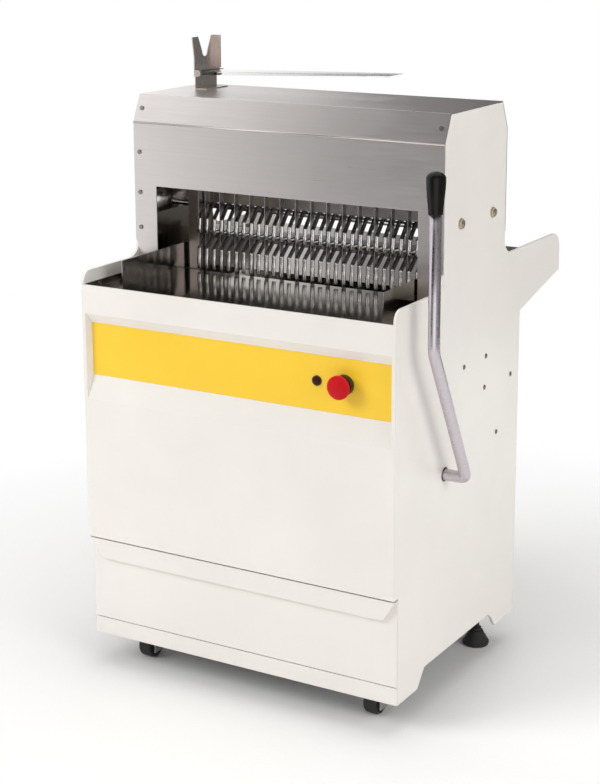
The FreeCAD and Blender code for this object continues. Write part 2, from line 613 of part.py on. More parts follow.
def tables():
    """Outfeed tray, infeed table and the upright guides beside the loaf."""
    floor = "table_z - sheet_t"
    wide = ("-inner", "inner")
    pieces = [
        block("tray_floor", wide, ("-tray_front", "tray_back"), (floor, "table_z")),
        block("tray_hem", wide, ("-tray_front - hem_t", "-tray_front"), (floor, "table_z + hem_tall")),
    ]
    for word, side in SIDES:
        edge = span(side, "inner - sheet_t", "inner")
        pieces.append(block(f"tray_rim_{word}", edge, ("-tray_front", "hood_front"),
                            ("table_z", "table_z + tray_rim")))
    node("outfeed_tray", joined("tray_solid", pieces))
    points = [
        ("table_front", floor), ("depth", floor), ("table_end", f"{floor} + table_rise"),
        ("table_end", "table_z + table_rise"), ("depth", "table_z"), ("table_front", "table_z"),
    ]
    middle = plate("table_middle", "YZ_Plane", points, "-table_half", "2*table_half")
    rise = "table_rise*(table_wide_y - depth)/(table_end - depth)"
    wide_points = [
        ("table_wide_y", f"{floor} + {rise}"), ("table_end", f"{floor} + table_rise"),
        ("table_end", "table_z + table_rise"), ("table_wide_y", f"table_z + {rise}"),
    ]
    rear = plate("table_rear", "YZ_Plane", wide_points, "-inner", "width - 2*panel_t")
    wall = block("table_tail", wide, ("table_end - sheet_t", "table_end"),
                 ("wing_low + sheet_t", f"{floor} + table_rise"))
    ribs = [
        block(f"table_rib_{word}", span(side, "table_half - sheet_t", "table_half"),
              ("table_front", "depth"), ("table_z - table_rib", floor))
        for word, side in SIDES
    ]
    node("infeed_table", joined("table_solid", [middle, rear, wall] + ribs))
    guides = [
        block(f"guide_{word}", span(side, "guide_half", "guide_half + sheet_t"),
              ("guide_front", "depth"), ("table_z", "table_z + guide_tall"))
        for word, side in SIDES
    ]
    node("side_guides", together("guide_pair", guides))


def blade_frames():
    """Two upright frames that move against each other, each with its own set of blades."""
    frames = (("front", "front_frame_y", "front_lug_x", 0), ("rear", "rear_frame_y", "rear_lug_x", 1))
    for name, y, lug_x, first in frames:
        deep = (y, f"{y} + frame_t")
        pieces = [
            block(f"{name}_bar_low", ("-post_in", "post_in"), deep, ("frame_low", "frame_low + frame_bar")),
            block(f"{name}_bar_top", ("-post_in", "post_in"), deep, ("frame_top - frame_bar", "frame_top")),
        ]
        inward = {"front": (y, "crank_y + pin_r"), "rear": ("crank_y - pin_r", f"{y} + frame_t")}[name]
        for word, side in SIDES:
            post = span(side, "post_in", "post_out")
            pieces.append(block(f"{name}_post_{word}", post, deep, ("post_low", "frame_top")))
            lug = span(side, lug_x, f"{lug_x} + lug_t")
            pieces.append(block(f"{name}_lug_{word}", lug, inward, ("lug_low", "frame_low - rod_lead")))
            pieces.append(block(f"{name}_hanger_{word}", lug, deep, ("lug_low", "frame_low")))
            pin = span(side, lug_x, f"{lug_x} + lug_t + 2*rod_lead + rod_t")
            pieces.append(disc(f"{name}_wrist_{word}", "x", "pin_r", pin, ("crank_y", "pin_z")))
        node(f"{name}_blade_frame", joined(f"{name}_frame_solid", pieces))
        blades = []
        for index in range(first, round(number("blade_count")), 2):
            middle = f"({index} - (blade_count - 1)/2)*pitch"
            wide = (f"{middle} - blade_t/2", f"{middle} + blade_t/2")
            tall = ("frame_low + frame_bar", "frame_top - frame_bar")
            blades.append(block(f"{name}_blade_{index}", wide, deep, tall))
        node(f"{name}_blades", together(f"{name}_blade_set", blades))


def frame_guides():
    """Slotted pillars on the drive deck and slotted blocks on the panels that guide both frames."""
    solids = []
    for word, side in SIDES:
        deep = ("pillar_low_y", "pillar_high_y")
        pillar = block(f"pillar_{word}", span(side, "guide_in", "pillar_out"), deep,
                       ("deck_z + deck_t", "pillar_top"))
        upper = block(f"upper_guide_{word}", span(side, "guide_in", "inner"), deep, ("upper_low", "upper_top"))
        notch = span(side, "guide_in", "post_out + touch_gap")
        for item, low, top in ((pillar, "slot_bottom", "pillar_top"), (upper, "upper_low", "upper_top")):
            slots = [
                block(f"{item.Name}_{y}", notch, (f"{y} - touch_gap", f"{y} + frame_t + touch_gap"),
                      (low, top))
                for y in ("front_frame_y", "rear_frame_y")
            ]
            solids.append(cut(f"{item.Name}_slotted", item, slots))
    node("frame_guides", together("frame_guide_set", solids))


def drive():
    """Deck, crankshaft with four eccentrics, connecting rods, motor, pulleys and belt."""
    node("drive_deck", block("deck_sheet", ("-inner", "inner"), ("deck_y", "depth - sheet_t"),
                             ("deck_z", "deck_z + deck_t")))
    axle = ("crank_y", "crank_z")
    pieces = [disc("crank_bar", "x", "crank_r", ("-crank_end", "crank_end"), axle)]
    bearings = []
    for word, side in SIDES:
        wide = span(side, "bearing_x", "bearing_x + bearing_t")
        stand = block(f"bearing_{word}", wide, ("crank_y - bearing_half", "crank_y + bearing_half"),
                      ("deck_z + deck_t", "crank_z + bearing_up"))
        bore = disc(f"bearing_bore_{word}", "x", "crank_r + run_gap", wide, axle)
        bearings.append(cut(f"bearing_{word}_bored", stand, [bore]))
    node("crank_bearings", together("bearing_pair", bearings))
    for name, lug_x, sign in (("front", "front_lug_x", "-"), ("rear", "rear_lug_x", "+")):
        rods = []
        offset = f"crank_y {sign} throw"
        for word, side in SIDES:
            near = f"{lug_x} + lug_t + rod_lead"
            wide = span(side, near, f"{near} + rod_t")
            pieces.append(disc(f"{name}_eccentric_{word}", "x", "disc_r", wide, (offset, "crank_z")))
            ring = disc(f"{name}_ring_{word}", "x", "rod_ring_r", wide, (offset, "crank_z"))
            eye = disc(f"{name}_eye_{word}", "x", "eye_r", wide, (offset, "pin_z"))
            shank = block(f"{name}_shank_{word}", wide, (f"{offset} - rod_wide/2", f"{offset} + rod_wide/2"),
                          ("crank_z", "pin_z"))
            bores = [
                disc(f"{name}_ring_bore_{word}", "x", "disc_r + run_gap", wide, (offset, "crank_z")),
                disc(f"{name}_eye_bore_{word}", "x", "eye_bore_r", wide, (offset, "pin_z")),
            ]
            solid = joined(f"{name}_rod_{word}", [ring, eye, shank])
            rods.append(cut(f"{name}_rod_{word}_bored", solid, bores))
        node(f"{name}_rods", together(f"{name}_rod_pair", rods))
    node("crankshaft", joined("crank_solid", pieces))
    rim = ("pulley_x", "pulley_x + pulley_t")
    wheel = disc("big_pulley", "x", "big_pulley_r", rim, axle)
    node("driven_pulley", cut("big_pulley_bored", wheel, [disc("big_bore", "x", "crank_r", rim, axle)]))
    spindle = ("motor_y", "crank_z")
    wheel = disc("small_pulley", "x", "small_pulley_r", rim, spindle)
    bore = disc("small_bore", "x", "motor_shaft_r", rim, spindle)
    node("motor_pulley", cut("small_pulley_bored", wheel, [bore]))
    inside = "motor_near + shaft_in"
    node("motor_shaft", disc("spindle", "x", "motor_shaft_r", ("pulley_x", inside), spindle))
    can = disc("motor_can", "x", "motor_r", ("motor_near", "motor_far"), spindle)
    foot = block("motor_base", ("motor_foot_low", "motor_foot_far"),
                 ("motor_y - motor_foot", "motor_y + motor_foot"), ("deck_z + deck_t", "crank_z"))
    deep = ("motor_near", f"{inside} + touch_gap")
    well = disc("motor_well", "x", "motor_shaft_r + run_gap", deep, spindle)
    node("motor_housing", cut("motor_bored", joined("motor_solid", [can, foot]), [well]))
    belt()


def belt():
    """Belt round both pulleys: the hull of two larger circles less that of two smaller ones."""
    gap = number("touch_gap")
    thick = number("belt_t")
    faces = [
        belt_face(number("big_pulley_r") + gap + more, number("small_pulley_r") + gap + more)
        for more in (thick, 0)
    ]
    width = FreeCAD.Vector(number("pulley_t - 2*belt_edge"), 0, 0)
    item = doc.addObject("Part::Feature", "belt_loop")
    item.Shape = faces[0].extrude(width).cut(faces[1].extrude(width))
    bind(item, "Placement.Base.x", "pulley_x + belt_edge")
    bind(item, "Placement.Base.y", "crank_y")
    bind(item, "Placement.Base.z", "crank_z")
    node("drive_belt", item)


def belt_face(big, small):
    """Flat face inside an open belt line round two circles along Y."""
    away = number("motor_y - crank_y")
    lean = math.asin((big - small)/away)
    rise = math.cos(lean)
    shift = math.sin(lean)
    top_big = FreeCAD.Vector(0, big*shift, big*rise)
    top_small = FreeCAD.Vector(0, away + small*shift, small*rise)
    low_big = FreeCAD.Vector(0, big*shift, -big*rise)
    low_small = FreeCAD.Vector(0, away + small*shift, -small*rise)
    edges = [
        Part.LineSegment(top_big, top_small).toShape(),
        Part.Arc(top_small, FreeCAD.Vector(0, away + small, 0), low_small).toShape(),
        Part.LineSegment(low_small, low_big).toShape(),
        Part.Arc(low_big, FreeCAD.Vector(0, -big, 0), top_big).toShape(),
    ]
    return Part.Face(Part.Wire(edges))


def lever():
    """Feed lever outside the right panel, its cross shaft, bushes and the two inner arms."""
    centre = ("pivot_y", "pivot_z")
    far = "outer + shaft_end"
    node("lever_shaft", disc("cross_bar", "x", "shaft_r", (f"-({far})", "lever_x - hub_t"), centre))
    leg = doc.addObject("Part::Cylinder", "lever_leg")
    leg.Placement = FreeCAD.Placement(FreeCAD.Vector(), FreeCAD.Rotation(FreeCAD.Vector(1, 0, 0), 30))
    bind(leg, "Radius", "bar_r")
    bind(leg, "Height", "sqrt((pivot_y - bend_y)^2 + (bend_z - pivot_z)^2)")
    bind(leg, "Placement.Rotation.Angle", "atan((pivot_y - bend_y)/(bend_z - pivot_z))")
    for axis, place in (("x", "lever_x"), ("y", "pivot_y"), ("z", "pivot_z")):
        bind(leg, "Placement.Base." + axis, place)
    pieces = [leg, disc("lever_hub", "x", "bar_r", ("lever_x - hub_t", "lever_x"), centre)]
    for name, y, z in (("heel", "pivot_y", "pivot_z"), ("knee", "bend_y", "bend_z")):
        ball = doc.addObject("Part::Sphere", f"lever_{name}")
        bind(ball, "Radius", "bar_r")
        for axis, place in (("x", "lever_x"), ("y", y), ("z", z)):
            bind(ball, "Placement.Base." + axis, place)
        pieces.append(ball)
    pieces.append(disc("lever_upright", "z", "bar_r", ("bend_z", "grip_low"), ("lever_x", "bend_y")))
    node("lever_bar", joined("lever_solid", pieces))
    place = ("lever_x", "bend_y")
    body = disc("grip_body", "z", "grip_low_r", ("grip_low", "grip_top - grip_dome"), place, "grip_r")
    dome = disc("grip_cap", "z", "grip_r", ("grip_top - grip_dome", "grip_top"), place, "grip_crown_r")
    node("lever_grip", joined("grip_solid", [body, dome]))
    arms = []
    bushes = []
    for word, side in SIDES:
        wide = span(side, "arm_in", "arm_in + arm_t")
        points = [
            ("pivot_y - arm_foot", "pivot_z"), ("pivot_y + arm_foot", "pivot_z"),
            ("arm_y + arm_tip", "arm_z"), ("arm_y - arm_tip", "arm_z"),
        ]
        pin = span(side, "drive_pin_in", "arm_in + arm_t")
        solid = joined(f"arm_{word}", [
            plate(f"arm_plate_{word}", "YZ_Plane", points, wide[0], "arm_t"),
            disc(f"arm_foot_{word}", "x", "arm_eye_r", wide, centre),
            disc(f"arm_tip_{word}", "x", "arm_tip", wide, ("arm_y", "arm_z")),
            disc(f"drive_pin_{word}", "x", "drive_pin_r", pin, ("arm_y", "arm_z")),
        ])
        arms.append(cut(f"arm_{word}_bored", solid, [disc(f"arm_bore_{word}", "x", "shaft_r", wide, centre)]))
        long = span(side, "bush_in", "outer")
        ring = disc(f"bush_{word}", "x", "bush_r", long, centre)
        hole = disc(f"bush_bore_{word}", "x", "shaft_r + run_gap", long, centre)
        bushes.append(cut(f"bush_{word}_bored", ring, [hole]))
    node("lever_arms", together("arm_pair", arms))
    node("lever_bushes", together("bush_pair", bushes))


def patterned(body, features, gap, count):
    """Repeat features of a body along X."""
    doc.recompute()
    pattern = body.newObject("PartDesign::LinearPattern", f"{body.Name}_row")
    pattern.Originals = features
    pattern.Direction = (origin_part(body, "X_Axis"), [""])
    bind(pattern, "Occurrences", count)
    bind(pattern, "Length", f"({count} - 1)*{gap}")
    body.Tip = pattern


def pusher():
    """Guide rods and brackets, and the fingered beam on its two carriages."""
    rods = []
    brackets = []
    carriages = []
    for word, side in SIDES:
        centre = (reach(side, "rod_x"), "rod_z")
        rods.append(disc(f"guide_rod_{word}", "y", "guide_rod_r", ("rod_front", "rod_back"), centre))
        ends = (("front", ("rod_front", "rod_front + bracket_t")),
                ("back", ("rod_back - bracket_t", "rod_back")))
        for name, deep in ends:
            tall = ("rod_z - bracket_half", "rod_z + bracket_half")
            solid = block(f"bracket_{word}_{name}", span(side, "bracket_in", "inner"), deep, tall)
            bore = disc(f"bracket_bore_{word}_{name}", "y", "guide_rod_r", deep, centre)
            brackets.append(cut(f"bracket_{word}_{name}_bored", solid, [bore]))
        wide = span(side, "bracket_in", "carriage_out")
        deep = ("carriage_y", "carriage_back")
        points = [
            ("yoke_front", "yoke_low"), ("yoke_front + yoke_wide", "yoke_low"),
            ("yoke_front + yoke_wide", "rod_z + bracket_half - yoke_bar"),
            ("carriage_back", "rod_z + bracket_half - yoke_bar"),
            ("carriage_back", "rod_z + bracket_half"), ("yoke_front", "rod_z + bracket_half"),
        ]
        yoke_x = span(side, "carriage_out", "yoke_in + yoke_t")
        slot_half = "(drive_pin_r + slot_play)"
        solid = joined(f"carriage_{word}", [
            block(f"carriage_post_{word}", wide, deep, ("carriage_low", "pusher_top")),
            plate(f"yoke_{word}", "YZ_Plane", points, yoke_x[0], "yoke_in + yoke_t - carriage_out"),
        ])
        cuts = [
            disc(f"carriage_bore_{word}", "y", "guide_rod_r + run_gap", deep, centre),
            block(f"yoke_slot_{word}", yoke_x, (f"arm_y - {slot_half}", f"arm_y + {slot_half}"),
                  ("slot_low_z", "slot_top_z")),
        ]
        carriages.append(cut(f"carriage_{word}_bored", solid, cuts))
    node("pusher_guide_rods", together("guide_rod_pair", rods))
    node("rod_brackets", together("bracket_set", brackets))
    node("pusher_carriages", together("carriage_pair", carriages))
    node("pusher_beam", block("beam_bar", ("-bracket_in", "bracket_in"), ("carriage_y", "carriage_back"),
                              ("beam_low", "pusher_top")))
    body = doc.addObject("PartDesign::Body", "finger_row")
    rail = [
        ("carriage_y - rail_t", "pusher_top - rail_tall"), ("carriage_y", "pusher_top - rail_tall"),
        ("carriage_y", "pusher_top"), ("carriage_y - rail_t", "pusher_top"),
    ]
    padded(body, outline(body, "finger_rail", "YZ_Plane", rail, "-rail_half"), "2*rail_half")
    finger = [
        ("finger_y", "finger_low"), ("finger_y + finger_t", "finger_low"),
        ("finger_y + finger_t", "table_z + finger_knee - finger_t"),
        ("finger_bend_y", "pusher_top - rail_tall"), ("carriage_y - rail_t", "pusher_top - rail_tall"),
        ("carriage_y - rail_t", "pusher_top"), ("finger_bend_y", "pusher_top"),
        ("finger_y", "table_z + finger_knee"),
    ]
    start = "first_finger - finger_wide/2"
    pad = padded(body, outline(body, "finger", "YZ_Plane", finger, start), "finger_wide")
    patterned(body, [pad], "pitch", "finger_count")
    node("pusher_fingers", body)


def comb():
    """Hold-down comb: a bar between the blade rows with bent hooks, carried on a plate inside each panel."""
    body = doc.addObject("PartDesign::Body", "comb")
    sketch = body.newObject("Sketcher::SketchObject", "comb_bar")
    sketch.AttachmentSupport = (origin_part(body, "YZ_Plane"), [""])
    sketch.MapMode = "FlatFace"
    bind(sketch, "AttachmentOffset.Base.z", "comb_plate_t - inner")
    middle = FreeCAD.Vector(number("comb_bar_y"), number("comb_bar_z"), 0)
    sketch.addGeometry(Part.Circle(middle, FreeCAD.Vector(0, 0, 1), number("comb_r")), False)
    ties = (
        ("DistanceX", (-1, 1, 0, 3), middle.x, "comb_bar_y"),
        ("DistanceY", (-1, 1, 0, 3), middle.y, "comb_bar_z"),
        ("Radius", (0,), number("comb_r"), "comb_r"),
    )
    for kind, places, rough, text in ties:
        tie = sketch.addConstraint(Sketcher.Constraint(kind, *places, rough))
        bind(sketch, f"Constraints[{tie}]", text)
    padded(body, sketch, "2*(inner - comb_plate_t)")
    cap = "comb_bar_z + comb_r + hook_t"
    hook = [
        ("hook_y", "table_z + hook_low"), ("hook_y + hook_t", "table_z + hook_low"),
        ("hook_y + hook_t", "table_z + hook_knee - hook_t"), ("comb_bar_y", "comb_bar_z"),
        ("comb_bar_y + comb_r", "comb_bar_z"), ("comb_bar_y + comb_r", cap), ("comb_bar_y - comb_r", cap),
        ("hook_y", "table_z + hook_knee"),
    ]
    start = "first_finger - hook_wide/2"
    pad = padded(body, outline(body, "comb_hook", "YZ_Plane", hook, start), "hook_wide")
    patterned(body, [pad], "pitch", "finger_count")
    pieces = [body]
    bores = []
    bolts = []
    for word, side in SIDES:
        plate_x = span(side, "inner - comb_plate_t", "inner")
        pieces.append(block(f"comb_plate_{word}", plate_x,
                            ("comb_y - comb_plate_edge", "comb_back_y + comb_plate_edge"),
                            ("comb_bar_z - comb_plate_edge", "comb_z + comb_plate_edge")))
        for name, y in (("front", "comb_y"), ("rear", "comb_back_y")):
            centre = (y, "comb_z")
            bores.append(disc(f"{name}_comb_bore_{word}", "x", "bolt_r", plate_x, centre))
            nut = "inner - comb_plate_t - bolt_head_t"
            face = "outer + washer_t"
            bolts.append(joined(f"{name}_bolt_{word}", [
                hexagon(f"{name}_nut_{word}", "x", "bolt_head_r", span(side, nut, f"{nut} + bolt_head_t"),
                        centre),
                disc(f"{name}_shank_bolt_{word}", "x", "bolt_r", span(side, nut, face), centre),
                disc(f"{name}_washer_{word}", "x", "washer_r", span(side, "outer", face), centre),
                hexagon(f"{name}_head_{word}", "x", "bolt_head_r", span(side, face, f"{face} + bolt_head_t"),
                        centre),
            ]))
    node("hold_down_comb", cut("comb_bored", joined("comb_solid", pieces), bores))
    node("comb_bolts", together("bolt_set", bolts))


def side_screws():
    """Inner braces behind the lower side panels, and the small screws that hold them."""
    screws = []
    braces = []
    for word, side in SIDES:
        wide = span(side, "inner - panel_t", "inner")
        brace = block(f"brace_{word}", wide, ("pillar_low_y", "brace_back"), ("brace_low", "brace_top"))
        bores = []
        for name in SIDE_SCREWS:
            place = ("screw_y_" + name, "screw_z_" + name)
            bores.append(disc(f"brace_bore_{word}_{name}", "x", "screw_r", wide, place))
            shank = span(side, "outer - screw_in", "outer")
            head = span(side, "outer", "outer + screw_head_t")
            screws.append(joined(f"screw_{word}_{name}", [
                disc(f"screw_shank_{word}_{name}", "x", "screw_r", shank, place),
                disc(f"screw_head_{word}_{name}", "x", "screw_head_r", head, place),
            ]))
        braces.append(cut(f"brace_{word}_bored", brace, bores))
    node("panel_braces", together("brace_pair", braces))
    node("side_screws", together("side_screw_set", screws))


def bag_holder():
    """Bracket, notched fork and hinged clear flap on top of the hood."""
    deep = ("bag_front", "bag_back")
    left = "-bag_x"
    foot = block("bag_foot", (left, f"{left} + bag_base"), deep, ("hood_top", "hood_top + bag_t"))
    riser = block("bag_riser_sheet", (left, f"{left} + bag_t"), deep, ("hood_top", "bag_riser"))
    knuckles = []
    bores = []
    centre = (f"{left} + knuckle_r", "hinge_z")
    ends = (("front", ("bag_front", "bag_front + knuckle_t")),
            ("back", ("bag_back - knuckle_t", "bag_back")))
    for name, long in ends:
        knuckles.append(disc(f"knuckle_{name}", "y", "knuckle_r", long, centre))
        knuckles.append(block(f"knuckle_root_{name}", (left, f"{left} + knuckle_r"), long,
                              ("hinge_z - knuckle_r", "hinge_z + knuckle_r")))
        bores.append(disc(f"knuckle_bore_{name}", "y", "hinge_r + run_gap", long, centre))
    bracket = joined("bag_bracket_solid", [foot, riser] + knuckles)
    node("bag_bracket", cut("bag_bracket_bored", bracket, bores))
    middle = "(bag_front + bag_back)/2"
    wide = (f"{left} - bag_t", left)
    points = [
        ("bag_front", "bag_riser - fork_lap"), ("bag_back", "bag_riser - fork_lap"),
        ("bag_back", "fork_tip"), ("bag_front - fork_flare", "fork_tip"), ("bag_front", "fork_notch"),
    ]
    prong = plate("fork_sheet", "YZ_Plane", points, wide[0], "bag_t")
    seat = "fork_notch + fork_notch_r"
    mouth = [
        (f"{middle} - fork_notch_r", seat), (f"{middle} + fork_notch_r", seat),
        (f"{middle} + notch_wide/2", "fork_tip"), (f"{middle} - notch_wide/2", "fork_tip"),
    ]
    notch = [
        plate("fork_notch_cut", "YZ_Plane", mouth, wide[0], "bag_t"),
        disc("fork_notch_round", "x", "fork_notch_r", wide, (middle, seat)),
    ]
    edge = block("fork_return_sheet", (wide[0], f"{left} + fork_return"), ("bag_back - bag_t", "bag_back"),
                 ("bag_riser + touch_gap", "fork_tip"))
    node("bag_fork", joined("bag_fork_solid", [cut("fork_cut", prong, notch), edge]))
    rod = disc("hinge_bar", "y", "hinge_r", ("bag_front", "bag_back + hinge_past"), centre)
    node("bag_hinge_rod", rod)
    start = f"{left} + knuckle_r"
    points = [
        (start, "hinge_z - hinge_r"), (f"{start} + hinge_r", "hinge_z - hinge_r"),
        (f"{start} + flap_long", "hinge_z - hinge_r + flap_rise"),
        (f"{start} + flap_long", "hinge_z - hinge_r + flap_rise + flap_t"),
        (f"{start} + hinge_r", "hinge_z + hinge_r"), (start, "hinge_z + hinge_r"),
    ]
    length = "bag_back - bag_front - 2*knuckle_t - 2*touch_gap"
    flap = plate("flap_sheet", "XZ_Plane", points, "knuckle_t + touch_gap - bag_back", length)
    sleeve = ("bag_front + knuckle_t + touch_gap", "bag_back - knuckle_t - touch_gap")
    roll = disc("flap_sleeve", "y", "sleeve_r", sleeve, centre)
    bore = disc("flap_bore", "y", "hinge_r", sleeve, centre)
    node("bag_flap", cut("flap_bored", joined("flap_solid", [flap, roll]), [bore]))


def write_parts():
    """Check every object, then write one STEP file for each sub-part."""
    doc.recompute()
    for item in doc.Objects:
        if "Invalid" in item.State or "Error" in item.State:
            raise RuntimeError(f"{item.Name} failed: {item.getStatusString()}")
    for item in nodes:
        if item.Shape.isNull() or not item.Shape.isValid():
            raise RuntimeError(f"{item.Label} has no valid shape")
    os.makedirs("parts", exist_ok=True)
    for item in nodes:
        item.Shape.exportStep(f"parts/{item.Label}.step")


side_panels()
front_panel()
buttons()
plinth_and_base()
drawer()
castors_and_feet()
hood()
tables()
blade_frames()
frame_guides()
drive()
lever()
pusher()
comb()
side_screws()
bag_holder()
write_parts()
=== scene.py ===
import math

import bmesh
import bpy
import numpy as np
from mathutils import Matrix, Vector


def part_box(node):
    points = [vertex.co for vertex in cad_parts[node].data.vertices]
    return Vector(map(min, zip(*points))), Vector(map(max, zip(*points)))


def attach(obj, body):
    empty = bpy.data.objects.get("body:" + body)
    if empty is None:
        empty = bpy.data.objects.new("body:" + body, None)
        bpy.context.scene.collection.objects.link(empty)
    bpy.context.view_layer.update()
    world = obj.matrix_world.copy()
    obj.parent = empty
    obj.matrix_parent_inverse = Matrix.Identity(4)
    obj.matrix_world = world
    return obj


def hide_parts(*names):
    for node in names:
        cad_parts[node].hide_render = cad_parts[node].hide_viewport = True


bl_info = {
    "name": "Bread slicer",
    "version": (1, 0, 0),
    "blender": (4, 5, 0),
    "location": "View3D > Sidebar > Slicer",
    "description": "Finishes and shaped parts of a floor-standing bread slicer",
    "category": "Add Mesh",
}

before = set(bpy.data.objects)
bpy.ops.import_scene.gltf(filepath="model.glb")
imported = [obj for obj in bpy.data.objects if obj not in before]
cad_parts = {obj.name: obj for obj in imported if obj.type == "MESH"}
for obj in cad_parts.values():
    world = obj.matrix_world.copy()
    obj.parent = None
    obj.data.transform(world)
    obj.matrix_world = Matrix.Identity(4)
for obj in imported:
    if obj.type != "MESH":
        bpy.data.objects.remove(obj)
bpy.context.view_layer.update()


def box(node):
    """Lowest and highest corner of a frame node, as arrays."""
    low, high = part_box(node)
    return np.array(low), np.array(high)


def middle(node):
    """Centre of a frame node's box."""
    low, high = box(node)
    return (low + high) / 2


def islands(node):
    """Lowest and highest corner of each separate solid of a frame node.

    Corners at the same place become one point, and then each point takes the lowest label among the
    points of its triangles until no label changes: points with one label are one solid."""
    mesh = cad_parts[node].data
    mesh.calc_loop_triangles()
    places = np.empty(len(mesh.vertices) * 3)
    mesh.vertices.foreach_get("co", places)
    corners = np.empty(len(mesh.loop_triangles) * 3, int)
    mesh.loop_triangles.foreach_get("vertices", corners)
    points, same = np.unique(places.reshape(-1, 3).round(6), axis=0, return_inverse=True)
    triangles = same.ravel()[corners].reshape(-1, 3)
    label = np.arange(len(points))
    while True:
        lowest = np.repeat(label[triangles].min(axis=1), 3)
        after = label.copy()
        np.minimum.at(after, triangles.ravel(), lowest)
        if (after == label).all():
            break
        label = after
    solids = [points[label == one] for one in np.unique(label)]
    return [(solid.min(axis=0), solid.max(axis=0)) for solid in solids]


# Machine frame: X from the mid-plane, Y back from the cabinet's front, Z up from the floor.
MID_X = middle("hood_shell")[0]
FRONT_Y = box("plinth_panel")[1][1]
ORIGIN = np.array((MID_X, FRONT_Y, 0.0))
RING = 2 * math.pi
# A radius under TOUCHING is a pole, and points nearer than WELDED are one point.
TOUCHING = 1e-9
WELDED = 1e-7
# Lever bar: its radius, how far from the panel it starts and into the grip it reaches, and the height of
# its bend. Grip: its radius at the foot's edge and, a lead higher, at the neck, and the dome's depth.
LEVER = {"radius": 0.0098, "clear": 0.004, "sunk": 0.004, "bend_up": 0.659}
GRIP = {"foot": 0.0108, "neck": 0.0118, "lead": 0.0008, "dome": 0.011}
# Hold-down comb, back from the front and up from the floor: its bar, the knuckle of its hooks with its
# bend and the drop below it, and their lower ends; the bar's radius, the curl over it, the end plates.
COMB = {"bar": (0.255, 0.818), "knuckle": (0.229, 0.797), "bend": 0.004, "drop": 0.010, "foot_up": 0.770,
        "radius": 0.005, "curl": 0.006, "plate": 0.006, "plate_up": 0.806}
# Pusher's fingers: the back end of their arm, the knuckle's height and drop, the bends of arm and knuckle,
# how far they stand behind the node's front, and the depth and height of the rail they sit on.
FINGER = {"back": 0.256, "knuckle_up": 0.742, "drop": 0.012, "bends": (0.006, 0.004), "front": 0.0012,
          "rail": 0.006, "rail_tall": 0.008}
# What a row of hooks or fingers leaves free at both its ends together.
ROW_ENDS = 0.010
# Hexagon nut of the comb's bolts: width across its flats, height, its washer's radius and thickness, the
# bolt's radius, and how far it all stands out of the panel.
NUT = {"across": 0.0145, "tall": 0.0035, "washer": 0.0095, "thick": 0.0014, "bolt": 0.004, "proud": 0.0064}
# Lap of the hood's front edge: its height, how far it reaches up and in, and the gap at each end.
LAP = {"fold": 0.978, "up": 0.0012, "deep": 0.0008, "gap": 0.0004}
# Painted shade on the inner walls of the blade chamber: how far it stays inside the hood's ends, and its
# front and back.
CHAMBER_SHADE = {"ends": 0.0045, "edges": 0.0005}
# Profiles below are rows of (along, radius, rounding), and the rim's leave out the radius, which is the
# head's own. The stop button's start at its front, the foot's at the floor, a wheel's at its side, inwards.
STOP_STEM = 0.0066
STOP_BACK = ((0.0137, STOP_STEM, 0.0004), (0.0133, 0.0165, 0.001))
STOP_RIM = ((0.0115, 0.0018), (0.0075, 0.0022))
FOOT = ((0.0, 0.0, 0), (0.0, 0.0235, 0.001), (0.0062, 0.025, 0.0015), (0.0105, 0.0222, 0.002),
        (0.024, 0.0145, 0.005), (0.0278, 0.0128, 0.0008), (0.0282, 0.0098, 0.0006), (0.034, 0.0098, 0.0006),
        (0.0342, 0.006, 0.0004))
WHEEL = ((0, 0.004, 0), (0, 0.011, 0.0008), (0.004, 0.013, 0.0008), (0.004, 0.018, 0.0008),
         (0.001, 0.0205, 0.001))
# The wheel's tread, narrower than its hub at each side, and the rounding of its edge.
TREAD = {"in": 0.002, "round": 0.004}


# ---- surfaces

def grid_faces(rows, columns, closed=True, flip=False):
    """Quads between neighbouring points of a grid stored row by row, whose rows may close on themselves."""
    row = np.arange(rows - 1)[:, None] * columns
    column = np.arange(columns if closed else columns - 1)[None, :]
    after = (column + 1) % columns
    quads = np.stack((row + column, row + after, row + columns + after, row + columns + column), axis=-1)
    quads = quads.reshape(-1, 4)
    return (quads[:, ::-1] if flip else quads).tolist()


def fan(start, around, pole, flip=False):
    """Triangles from a ring of points, stored from start on, to one pole."""
    ring = np.arange(around)
    pair = [start + ring, start + (ring + 1) % around]
    return np.column_stack((*(pair[::-1] if flip else pair), np.full(around, pole))).tolist()


def merged(parts):
    """Several (points, faces) pairs as one pair."""
    points = []
    faces = []
    start = 0
    for some, quads in parts:
        points.append(np.asarray(some, float))
        faces.extend([[index + start for index in face] for face in quads])
        start += len(some)
    return np.concatenate(points), faces


def repeated(part, shifts):
    """Copies of one (points, faces) pair, one at each shift."""
    points, faces = part
    count = len(points)
    moved = (points[None, :, :] + np.asarray(shifts, float)[:, None, :]).reshape(-1, 3)
    every = [[index + copy * count for index in face] for copy in range(len(shifts)) for face in faces]
    return moved, every


